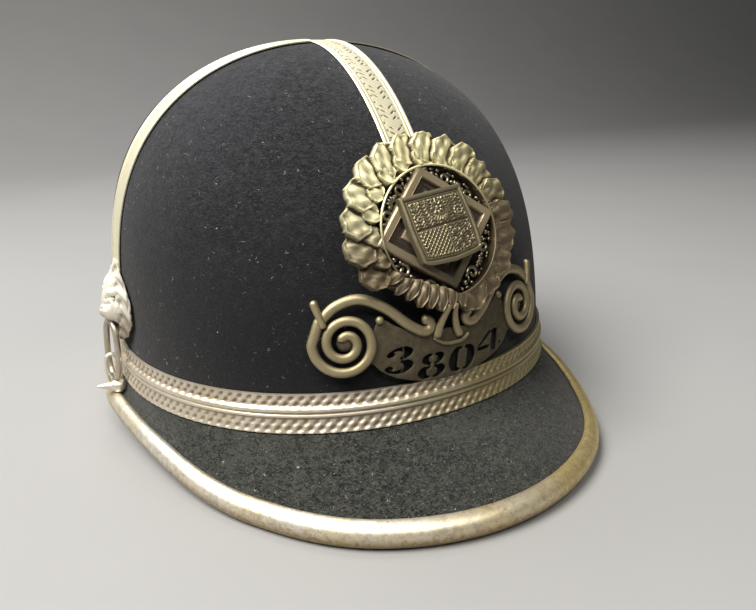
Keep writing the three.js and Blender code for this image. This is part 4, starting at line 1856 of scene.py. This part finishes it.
        def scroll(cx: float, cy: float, size: float, hand: int) -> Array:
            """A coiled stem with a notched edge.

            Args:
                cx: its middle across.
                cy: its middle up.
                size: its radius.
                hand: 1 or -1 for the way it coils.

            Returns:
                Its relief.
            """
            r, a = np.hypot(x - cx, y - cy), np.arctan2(y - cy, x - cx)
            coil = 0.5 + 0.5 * np.cos(2 * np.pi * r / 1.35 - hand * a)
            return smooth_step(size - r, 0, 0.4) * coil**1.5 * (0.75 + 0.25 * np.cos(9 * a))

        parting, centre = 1.2, 7.4
        r, a = np.hypot(x, (y - centre) * 1.05), np.arctan2(y - centre, x)
        fringe = (0.5 + 0.5 * np.cos(26 * a + 1.5 * np.sin(3 * r))) * bump_at(r, 4.3, 1.3)
        upper = [flower(0, centre, 8, 3.1), fringe * 0.85]
        for side in (-1, 1):
            upper += [scroll(side * 8.0, 10.0, 2.3, side), scroll(side * 8.3, 4.6, 2.6, side)]
        upper += [0.5 * bump_at((y + 0.45 * np.sin(2.1 * x) + 0.25 * np.abs(x)) % 1.2, 0.6, 0.36)]
        rising, falling = (x + y) % 1.75, (x - y) % 1.75
        lattice = np.maximum(bump_at(rising, 0.87, 0.36), bump_at(falling, 0.87, 0.36))
        studs = bump_at(np.hypot(rising - 0.05, falling - 0.05), 0, 0.5)
        places = ((2.6, -1.7), (6.0, -2.9), (9.4, -1.8), (3.2, -5.6), (8.4, -6.3), (5.6, -8.6))
        leaves = [flower(cx, cy, 3, 1.9) for cx, cy in places]
        ribs = 0.45 * bump_at((y + 0.3 * np.sin(2.2 * x)) % 0.95, 0.47, 0.3)
        lower = np.maximum.reduce([*leaves, ribs])
        lower = np.where(x < 0.4, 0.8 * np.maximum(lattice, studs), lower)
        whole = np.where(y > parting, np.maximum.reduce(upper), lower)
        whole = whole * smooth_step(np.abs(y - parting), 0.35, 0.7)
        post = bump_at(x, 0.4, 0.4) * (y < parting)
        return np.maximum(whole, post) - 0.5 * glow(y, parting, 0.28)

    def shield(self) -> None:
        """Makes the domed shield with its raised edge and two fields."""
        top, fold = 13.5, 0.965

        def place(u: Array, v: Array) -> Relief:
            """The shield's face, with a turned-down edge.

            Args:
                u: across.
                v: up.

            Returns:
                The points, and how deep each lies.
            """
            s, t = 2 * u - 1, 2 * v - 1
            fall_x, fall_y = smooth_step(np.abs(s), fold, 1), smooth_step(np.abs(t), fold, 1)
            s, t = np.clip(s / fold, -1, 1), np.clip(t / fold, -1, 1)
            low = -12.0 + 1.6 * np.abs(s) ** 9 + 1.0 * np.abs(s)
            y = low + (top - low) * (t + 1) / 2
            half = 12.9 + 0.3 * (y + 11) / 24.5 + 0.25 * np.cos(y / 3.8)
            x = s * half
            edge = np.minimum.reduce([half - np.abs(x), top - y, y - low])
            rim = bump_at(edge, 0.8, 0.85)
            inner = bump_at(edge, 2.2, 0.4)
            relief = self.motifs(x, y) * smooth_step(edge, 2.5, 3.1)
            dome = 1.3 * (1 - (x / 14) ** 2) * (1 - (y / 15) ** 2)
            height = 1.75 + dome * 0.9 + 0.75 * rim + 0.3 * inner + 0.62 * relief
            dents = 0.5 * (1 + np.sin(4.6 * np.where(half - np.abs(x) < 3.4, y, x)))
            dents = dents * smooth_step(edge, 2.5, 2.8) * (1 - smooth_step(edge, 3.2, 3.6))
            fall = np.maximum(fall_x, fall_y)
            height = height + 0.35 * dents - 2.2 * fall
            # Painted shade on the flat field, lighter on the relief, the rims and the dents. The
            # turned-down edge is half shaded.
            deep = np.clip(1.0 - 1.2 * relief - rim * 1.5 - 0.4 * inner - 0.5 * dents, 0, 1)
            deep = np.where(fall > 0.1, 0.5, deep)
            low_side = top - y
            return np.column_stack([x + 0.045 * low_side, y, height + 0.06 * low_side]), deep

        face = Bench.stamped("badge_shield", 190, 180, place)
        Bench.shell(face, FAR_BELOW, 0.5, 70)
        face.data.transform(self.seat(True))
        Bench.finish(face, SHIELD_METAL.material(), Slot.GILT, "shield")

    def build(self) -> None:
        """Makes the badge's four pieces."""
        self.wreath()
        self.ground()
        self.star()
        self.shield()


# ---- number plate ------------------------------------------------------------------------


def ribbon(knots: Knots, flip: int = 1) -> Place:
    """One cut of a stencilled figure, a stroke that swells and thins.

    Args:
        knots: across, up and width at points along it.
        flip: -1 for its mirror image.

    Returns:
        The stroke's flat place function.
    """
    route = spline(knots, 40)
    route[:, 0] *= flip
    share = np.linspace(0, 1, 40)
    ahead = unit(np.gradient(route[:, :2], axis=0))

    def place(u: Array, v: Array) -> Array:
        """Points across the ribbon.

        Args:
            u: share along it.
            v: share across it.

        Returns:
            The points.
        """
        x, y, width = sampled(u, share, route).T
        dx, dy = sampled(u, share, ahead).T
        aside = (v - 0.5) * width
        return np.column_stack([x - dy * aside, y + dx * aside, 0 * u])

    return place


THREE_TOP: Knots = (
    (-3.0, 3.4, 1.1), (-1.3, 4.5, 1.2), (1.0, 4.4, 2.2),
    (2.3, 2.9, 3.0), (1.4, 1.3, 1.9), (0, 0.8, 0.8),
)
THREE_FOOT: Knots = (
    (0.2, -0.3, 0.8), (1.8, -0.8, 2.0), (2.8, -2.5, 3.2),
    (1.3, -4.2, 2.2), (-1.2, -4.6, 1.2), (-3.1, -3.7, 1.1),
)
EIGHT_TOP: Knots = (
    (0.5, 4.6, 0.9), (2.0, 4.0, 1.9), (2.4, 2.7, 2.3), (1.7, 1.3, 1.6), (0.5, 0.7, 0.9),
)
EIGHT_FOOT: Knots = (
    (0.5, -0.1, 1.0), (2.3, -0.9, 2.1), (3.0, -2.5, 2.8), (2.1, -4.2, 2.0), (0.5, -4.8, 0.9),
)
NOUGHT: Knots = (
    (0.55, 4.8, 0.9), (2.4, 3.7, 2.3), (3.1, 0, 3.3), (2.4, -3.7, 2.3), (0.55, -4.8, 0.9),
)
FIGURES: tuple[tuple[tuple[Knots, int], ...], ...] = (
    ((THREE_TOP, 1), (THREE_FOOT, 1)),
    ((EIGHT_TOP, 1), (EIGHT_TOP, -1), (EIGHT_FOOT, 1), (EIGHT_FOOT, -1)),
    ((NOUGHT, 1), (NOUGHT, -1)),
    (
        (((0.7, 4.6, 1.4), (-1.4, 2.1, 1.6), (-3.8, -0.6, 1.3)), 1),
        (((-4.4, -1.9, 1.6), (-2, -1.9, 1.6), (0.3, -1.9, 1.6)), 1),
        (((2.3, 4.8, 2.7), (2.3, 0, 2.9), (2.3, -4.7, 2.7)), 1),
        (((4.5, -1.9, 1.3), (4.9, -1.9, 1.3), (5.3, -1.9, 1.3)), 1),
    ),
)
BALLS: tuple[Pair, ...] = ((-2.75, 2.7), (-2.8, -2.9))


@dataclass(frozen=True)
class NumberPlate:
    """The curved plate with stencilled figures between two scrolls."""

    bend: float = 98.0
    lift: float = 1.7
    metal: float = 1.1
    lean: float = 0.2
    cut_depth: float = 8.0
    ball: float = 1.15
    figure_scale: Pair = (1.22, 0.84)
    rod: float = 2.05
    rod_level: float = 3.2
    eye: Pair = (-37.0, 33.0)
    pitch: float = 4.8
    outer: float = 10.9
    coils: float = 1.95
    centres: tuple[Pair, ...] = ((-19.2, 25.0), (-7.3, 21.2), (5.0, 21.1), (17.6, 23.9))
    edge_across: tuple[float, ...] = (0, 10, 20, 25.4, 29.4)
    edge_top: tuple[float, ...] = (33, 32.6, 37, 39.6, 33)
    edge_bottom: tuple[float, ...] = (15.6, 16.2, 19, 22, 25.6)

    def on_crown(self, points: Array) -> Array:
        """From the flat layout to the crown.

        Args:
            points: across, up from the band's lower edge, and out from the crown.

        Returns:
            The points on the helmet.
        """
        turn = points[:, 0] / self.bend
        none = np.zeros_like(turn)
        heading = np.column_stack([np.sin(turn), -np.cos(turn), none])
        origin = np.column_stack([none, none, FORM.base + points[:, 1]])
        return FORM.lifted(origin, heading, points[:, 2])

    def cutters(self) -> list[Piece]:
        """The figures' solids.

        Returns:
            One solid per stroke or ball.
        """
        made = []
        for strokes, centre in zip(FIGURES, self.centres):
            for knots, flip in strokes:
                cut = Bench.sheet("cut", 22, 2, ribbon(knots, flip))
                Bench.place(cut, Bench.coordinates(cut) + [0, 0, 6 * MM])
                Bench.face_away(cut, FAR_BELOW)
                Bench.thicken(cut, self.cut_depth)
                made.append((cut, centre))
        for x, y in BALLS:
            ball = Bench.add(
                "cut",
                bpy.ops.mesh.primitive_cylinder_add,
                vertices=24,
                radius=self.ball * MM,
                depth=self.cut_depth * MM,
                location=(x * MM, y * MM, 2 * MM),
            )
            made.append((ball, self.centres[0]))
        for cut, (cx, cy) in made:
            points = Bench.coordinates(cut)
            points[:, :2] *= self.figure_scale
            points[:, 0] += cx * MM + self.lean * points[:, 1]
            points[:, 1] += cy * MM
            Bench.place(cut, points)
        return [cut for cut, _ in made]

    def slab(self) -> Piece:
        """Makes the pierced plate in its layout.

        Returns:
            The plate.
        """
        half = self.edge_across[-1]

        def place(u: Array, v: Array) -> Array:
            """The plate's face.

            Args:
                u: share across.
                v: share from the lower to the upper edge.

            Returns:
                The points.
            """
            across = (2 * u - 1) * half
            top = curve_through(self.edge_across, self.edge_top, np.abs(across))
            bottom = curve_through(self.edge_across, self.edge_bottom, np.abs(across))
            level = np.full_like(u, self.lift + self.metal)
            return np.column_stack([across, bottom + (top - bottom) * v, level])

        plate = Bench.sheet("plate", 84, 1, place)
        Bench.face_away(plate, FAR_BELOW)
        dissolve = {"angle_limit": 0.01, "delimit": set(), "use_dissolve_boundaries": False}
        Bench.edit(plate, lambda: bpy.ops.mesh.dissolve_limited(**dissolve))
        Bench.thicken(plate, self.metal)
        for cutter in self.cutters():
            Bench.modify(plate, "BOOLEAN", operation="DIFFERENCE", solver="MANIFOLD", object=cutter)
            bpy.data.objects.remove(cutter, do_unlink=True)
        Bench.merge(plate)
        edge = {"limit_method": "ANGLE", "angle_limit": math.radians(60)}
        Bench.modify(plate, "BEVEL", width=0.24 * MM, segments=2, use_clamp_overlap=False, **edge)
        # Cuts across and along let the flat plate bend round the crown.
        cuts = [((x * MM, 0, 0), (1, 0, 0)) for x in np.arange(-28.5, 29, 1.5)]
        cuts += [((0, y * MM, 0), (0, 1, 0)) for y in np.arange(17, 39.5, 2.5)]
        for point, normal in cuts:
            Bench.edit(plate, lambda: bpy.ops.mesh.bisect(plane_co=point, plane_no=normal))
        return plate

    def scroll(self, side: int) -> list[Piece]:
        """Makes one scroll and its pin in their layout.

        Args:
            side: -1 for the side at -X, 1 for the other.

        Returns:
            The rods.
        """
        hook = [(-10.6, 37.5), (-8.4, 37.2), (-7.0, 35.6), (-8.0, 33.9), (-10.4, 33.7)]
        hook += [(-13.2, 35.2), (-16.5, 37.6)]
        arch = [(-23.2, 43.2), (-31.6, 46.8), (-39.6, 45.2), (-45.4, 40.4)]
        share = np.linspace(0, 1, 90)
        angle = np.pi + share * self.coils * 2 * np.pi
        reach = self.outer - share * self.coils * self.pitch
        route = np.vstack([spline(hook + arch, 160), coil(self.eye, reach, angle)])
        route = evenly(route, 300) * [-side, 1]
        pin = np.array([(-47.2, 47.6), (-43.6, 38.4)]) * [-side, 1]
        return [
            Rod(route, self.rod, self.rod_level, 0.78, (0.9, 0.75), 18).make("scroll", 280),
            Rod(evenly(pin, 20), 1.4, 4.1, 1, (1, 0.8), 14).make("pin", 24),
            bead("eye", (-side * self.eye[0], self.eye[1], self.rod_level - 1.2), 3.0, 0.35),
            bead("knob", (side * 25.2, 39.4, self.lift + self.metal), 1.5, 0.9),
        ]

    def build(self) -> None:
        """Makes the plate with both scrolls."""
        smile = spline([(-6.8, 31.0), (-3.0, 28.4), (1, 27.6), (5.2, 27.9), (8.4, 29.8)], 26)
        parts = [self.slab(), *self.scroll(-1), *self.scroll(1)]
        parts.append(Rod(smile, 0.75, 3.0).make("smile", 26))
        for knots in (
            ((-1.6, 41.5, 8.5), (-3.2, 37.5, 5.8), (-4.6, 33.6, 3.9), (-5.6, 30.2, 3.2)),
            ((0.9, 41.5, 8.5), (1.4, 37.5, 5.6), (2.6, 33.2, 3.8), (4.4, 29.2, 3.2)),
        ):
            parts.append(Rod(spline(knots, 30), 1.5, 0, 0.8, (0.8, 1.1)).make("leg", 30))
        whole = Bench.join("number_plate_with_scrolls", parts)
        flat = Bench.points(whole)
        # Painted shade on what lies lower than the rods.
        Bench.mark(whole, "recess_shade", np.clip((self.rod_level + 1.2 - flat[:, 2]) / 1.9, 0, 1))
        warp(whole, self.on_crown)
        Bench.smooth(whole, 35)
        Bench.finish(whole, PLATE_METAL.material(), Slot.PEWTER, "number_plate")


# ---- side fittings -----------------------------------------------------------------------


@dataclass(frozen=True)
class SideFittings:
    """A lion boss, its ring, a link and the rim lug on one side."""

    name: str
    side: int
    y: float = -3.5
    lift: float = 1.0
    outline_up: tuple[float, ...] = (18.8, 21.5, 28, 36, 42, 47, 51)
    outline_half: tuple[float, ...] = (6, 11.5, 17, 17.5, 14, 8, 0.9)

    def mask(self, a: Array, b: Array) -> Array:
        """The lion's face over its mane.

        Args:
            a: distance to the side of the face's middle.
            b: height above the band's lower edge.

        Returns:
            Relief in millimetres.
        """

        def lobe(
            ca: float, cb: float, ra: float, rb: float, high: float, power: float = 0.5
        ) -> Array:
            """A round swelling, on both sides of the face."""
            gap = ((np.abs(a) - ca) / ra) ** 2 + ((b - cb) / rb) ** 2
            return high * np.clip(1 - gap, 0, 1) ** power

        face = lobe(0, 32.5, 10.5, 11.5, 3.8)
        bridge = lobe(0, 33.6, 2.8, 7.6, 6.9, 0.45)
        snout = lobe(0, 30.4, 4.4, 3.8, 7.9, 0.5)
        muzzle = lobe(2.8, 29.2, 4.4, 4.4, 6.9, 0.5)
        brow = np.maximum(lobe(0, 40.8, 6.6, 5.6, 5.2, 0.7), lobe(3.4, 39.0, 4.2, 2.2, 5.4, 0.7))
        cheek = lobe(6.6, 31.2, 4.4, 6.2, 4.9, 0.5)
        chin = lobe(0, 23.7, 3.4, 2.5, 5.2, 0.5)
        ears = lobe(8.6, 40.2, 2.0, 2.4, 3.9, 0.6)
        eyes = lobe(3.9, 35.9, 1.3, 0.9, 5.0, 0.5)
        lobes = np.stack([face, bridge, snout, muzzle, brow, cheek, chin, ears])
        whole = (np.maximum(lobes, 0) ** 5).sum(axis=0) ** 0.2 * 0.95
        sockets = np.exp(-(((np.abs(a) - 4.2) / 2.6) ** 2 + ((b - 35.9) / 1.3) ** 2) ** 2)
        nostrils = np.exp(-(((np.abs(a) - 1.3) / 0.5) ** 2 + ((b - 31.6) / 0.6) ** 2))
        whole = np.maximum(whole - 2.0 * sockets, eyes) - 0.6 * nostrils
        cleft = glow(a, 0, 0.35) * smooth_step(30 - b, 0, 1) * (b > 26.5)
        return whole - 0.7 * cleft

    def boss_relief(self, a: Array, b: Array, edge: Array) -> Relief:
        """The whole boss: leafy mane, face and open mouth.

        Args:
            a: distance to the side of the middle.
            b: height above the band's lower edge.
            edge: 0 in the middle and 1 at the outline.

        Returns:
            Relief, and how deep each point lies.
        """
        bearing = np.arctan2(a, b - 31)
        reach = np.hypot(a, (b - 31) * 0.8)
        sweep = bearing * 12 + 1.3 * np.sin(0.9 * reach)
        locks = 0.5 + 0.5 * np.sin(sweep)
        fine = 0.5 + 0.5 * np.sin(2 * sweep + 2.4 * reach)
        thin = smooth_step(51 - b, 0, 9)
        mane = (0.85 * locks + 0.35 * fine) * smooth_step(reach, 3, 8) * (1 - 0.75 * edge**3)
        mane = 0.4 + mane * thin + 1.4 * thin * glow(reach, 10.4, 2.8)
        face = self.mask(a, b)
        relief = np.maximum(mane, face)
        mouth = glow(b, 25.9, 1.25, 4) * (1 - smooth_step(np.abs(a), 6.4, 7.8))
        relief = relief * (1 - mouth) + np.minimum(relief, 2.0) * mouth
        # Painted shade between the locks, in the mouth and on the face's lower relief.
        deep = np.clip((1 - locks) * 0.7 * smooth_step(reach, 6, 9) + 0.9 * mouth, 0, 1)
        deep = np.where(face > mane + 0.2, np.clip(1.1 - face / 3.4, 0, 0.8) + 0.6 * mouth, deep)
        return relief, np.clip(deep, 0, 1)

    def boss(self) -> None:
        """Makes the lion boss."""

        def place(u: Array, v: Array) -> Relief:
            """The boss's face.

            Args:
                u: share across.
                v: share up.

            Returns:
                The points, and how deep each lies.
            """
            b = self.outline_up[0] + (self.outline_up[-1] - self.outline_up[0]) * v
            half = np.interp(b, self.outline_up, self.outline_half)
            half = half + 0.45 * np.abs(np.sin(b * 1.05)) * smooth_step(half, 1, 4)
            share = 2 * u - 1
            a = share * half
            relief, deep = self.boss_relief(a, b, np.abs(share))
            origin = np.column_stack([np.zeros_like(a), self.y + a, FORM.base + b])
            heading = np.tile([float(self.side), 0.0, 0.0], (len(a), 1))
            return FORM.lifted(origin, heading, self.lift + relief), deep

        piece = Bench.stamped(f"lion_boss_{self.name}_relief", 120, 130, place)
        up = Bench.points(piece)[:, 2] - FORM.base
        # Painted shade: browner towards the bottom of the boss.
        Bench.mark(piece, "shade_and_tarnish", 0.8 * smooth_step(41 - up, 0, 17))
        Bench.shell(piece, MIDDLE, 0.5, 75)
        Bench.finish(piece, BOSS_METAL.material(), Slot.NICKEL, f"lion_boss_{self.name}")

    def hung(self, out: Array, along: Array, up: Array) -> Array:
        """Points by distance out, along the side and up from the band's lower edge."""
        return np.column_stack([self.side * out, self.y + along, FORM.base + up])

    def ring(self) -> None:
        """Makes the oval ring in the lion's mouth."""
        half_across, half_up, top_out, middle_out, foot_out = 6.3, 12.2, 99.6, 100.1, 101.2
        ring = Rod(loop(half_across, half_up, 97), 1.2, 0.0, closed=True, sides=16)
        ring = ring.make(f"oval_ring_{self.name}", 120)
        slope = (foot_out - top_out) / (2 * half_up)

        def hang(points: Array) -> Array:
            """From the ring's plane to the helmet's side."""
            out = middle_out - slope * points[:, 1] + 0.17 * points[:, 0] + points[:, 2]
            return self.hung(out, points[:, 0], 13.6 + points[:, 1])

        warp(ring, hang)
        Bench.mark(ring, "shade_and_tarnish", np.full(len(ring.data.vertices), 0.5))
        self.close(ring)
        Bench.finish(ring, RING_METAL.material(), Slot.NICKEL, f"mouth_ring_{self.name}")

    def link(self) -> None:
        """Makes the narrow link under the ring."""
        link = Rod(loop(2.6, 6.9, 73), 0.9, 0.0, closed=True, sides=14)
        link = link.make(f"narrow_link_{self.name}", 80)

        def hang(points: Array) -> Array:
            """From the link's plane, edge on to the helmet."""
            out = 101.2 + points[:, 0]
            return self.hung(out, points[:, 2], 4.3 + points[:, 1])

        warp(link, hang)
        self.close(link)
        Bench.finish(link, RING_METAL.material(), Slot.NICKEL, f"link_{self.name}")

    def lug(self) -> None:
        """Makes the rim lug: a knob with an outward spur."""
        out = (96.6, 97.1, 98.3, 100.0, 101.8, 103.0, 104.0, 105.4, 107.0, 108.2, 108.7)
        radius = (0.02, 1.6, 2.8, 3.2, 2.8, 2.0, 1.6, 1.25, 0.85, 0.45, 0.02)
        sink = (0, 0, 0, 0, 0.1, 0.2, 0.4, 0.7, 1.0, 1.2, 1.3)

        def place(u: Array, v: Array) -> Array:
            """The turned knob and spur.

            Args:
                u: share of a turn.
                v: share outwards.

            Returns:
                The points.
            """
            share = np.linspace(0, 1, len(out))
            size = np.clip(curve_through(share, radius, v), 0.001, None)
            across, up = polar(360 * u).T * size
            up = up - 3.0 + curve_through(share, sink, v)
            return self.hung(curve_through(share, out, v), 1.15 * across, up)

        piece = Bench.sheet(f"rim_lug_{self.name}_knob", 28, 48, place, merge=True)
        self.close(piece)
        Bench.finish(piece, RING_METAL.material(), Slot.NICKEL, f"rim_lug_{self.name}")

    def close(self, piece: Piece) -> None:
        """Closes a round piece's poles, turns it outwards and smooths it."""
        Bench.cap(piece)
        Bench.smooth(piece, 60)

    def build(self) -> None:
        """Makes the side's four pieces."""
        self.boss()
        self.ring()
        self.link()
        self.lug()


# ---- stand -------------------------------------------------------------------------------


@dataclass(frozen=True)
class Stand:
    """The pale floor, the soft lights and the camera."""

    azimuth: float = -24.65
    elevation: float = 9.02
    distance: float = 310.67
    target: Triple = (0, 0, 92.8)
    across: float = 24.06
    down: float = -56.44
    roll: float = -1.29
    lens: float = 31.546
    lit: Triple = (0, 0, 0.07)
    floor_front: float = 3500.0
    floor_long: float = 6500.0
    floor_wide: float = 9000.0
    sweep: float = 900.0
    pale: tuple[Colour, Colour] = ((0.225, 0.225, 0.23), (0.245, 0.245, 0.245))

    def camera(self) -> None:
        """Places the camera at the front left, a little above."""
        a, e, r = (math.radians(x) for x in (self.azimuth, self.elevation, self.roll))
        back = Vector((math.sin(a) * math.cos(e), -math.cos(a) * math.cos(e), math.sin(e)))
        right = Vector((math.cos(a), math.sin(a), 0))
        up = right.cross(back) * -1
        target = Vector(self.target)
        place = target + back * self.distance
        aim = target + right * self.across + up * self.down
        behind = (place - aim).normalized()
        level = Vector((0, 0, 1)).cross(behind).normalized()
        over = behind.cross(level)
        x = level * math.cos(r) + over * math.sin(r)
        y = over * math.cos(r) - level * math.sin(r)
        data = bpy.data.cameras.new("camera")
        data.lens = self.lens
        data.sensor_width = 36
        data.clip_start = 0.01
        camera = bpy.data.objects.new("camera", data)
        bpy.context.scene.collection.objects.link(camera)
        turned = Matrix((x, y, behind)).transposed().to_4x4()
        camera.matrix_world = Matrix.Translation(place * MM) @ turned
        bpy.context.scene.camera = camera

    def floor(self) -> None:
        """Lays the floor, which sweeps up into a backdrop."""

        def place(u: Array, v: Array) -> Array:
            """Flat in front, then a quarter turn, then upright.

            Args:
                u: share across.
                v: share from front to top.

            Returns:
                The points.
            """
            run = -self.floor_front + self.floor_long * v
            turn = np.clip((run - self.sweep) / self.sweep, 0, np.pi / 2)
            y = np.minimum(run, self.sweep) + self.sweep * np.sin(turn)
            upright = run - self.sweep - self.sweep / 2 * np.pi
            z = self.sweep * (1 - np.cos(turn)) + np.maximum(upright, 0)
            return np.column_stack([(u - 0.5) * self.floor_wide, y, z])

        floor = Bench.sheet("floor", 4, 130, place)
        Bench.face_away(floor, (0, 0, -4000))
        Bench.smooth(floor, 60)
        mix = Mixer("floor")
        colour = mix.blend(mix.noise(mix.point(), 0.01, 2, 0.5), *self.pale)
        floor.data.materials.append(mix.feed(Base_Color=colour, Roughness=0.8))

    def light(
        self, name: str, place: Sequence[float], size: float, power: float, tint: Sequence[float]
    ) -> None:
        """Hangs one soft light that faces the helmet.

        Args:
            name: its name.
            place: where it hangs, in metres.
            size: its width in metres.
            power: watts.
            tint: its colour.
        """
        data = bpy.data.lights.new(name, "AREA")
        data.shape = "DISK"
        data.size = size
        data.energy = power
        data.color = tint
        lamp = bpy.data.objects.new(name, data)
        lamp.location = place
        aim = Vector(self.lit) - Vector(place)
        lamp.rotation_euler = aim.to_track_quat("-Z", "Y").to_euler()
        bpy.context.scene.collection.objects.link(lamp)

    def build(self) -> None:
        """Sets the stand up."""
        self.camera()
        self.floor()
        bpy.context.scene.view_settings.view_transform = "Standard"
        world = bpy.data.worlds.new("studio")
        world.use_nodes = True
        background = world.node_tree.nodes["Background"]
        background.inputs["Color"].default_value = (0.62, 0.63, 0.65, 1)
        background.inputs["Strength"].default_value = 0.17
        bpy.context.scene.world = world
        self.light("key", (-0.78, -0.12, 1.2), 0.9, 46, (1, 0.97, 0.90))
        self.light("front", (-0.16, -0.85, 1.15), 0.5, 8.5, (1, 0.95, 0.84))
        self.light("back", (-0.1, 0.6, 1.1), 0.8, 8, (0.98, 0.98, 1))


def main() -> None:
    """Builds the helmet piece by piece."""
    Stand().build()
    Crown().build()
    Peak("front", FRONT_TABLE).build()
    Peak("rear", REAR_TABLE).build()
    HatBand().build()
    Strips().build()
    Badge().build()
    NumberPlate().build()
    SideFittings("left", -1).build()
    SideFittings("right", 1).build()


if __name__ == "__main__":
    main()
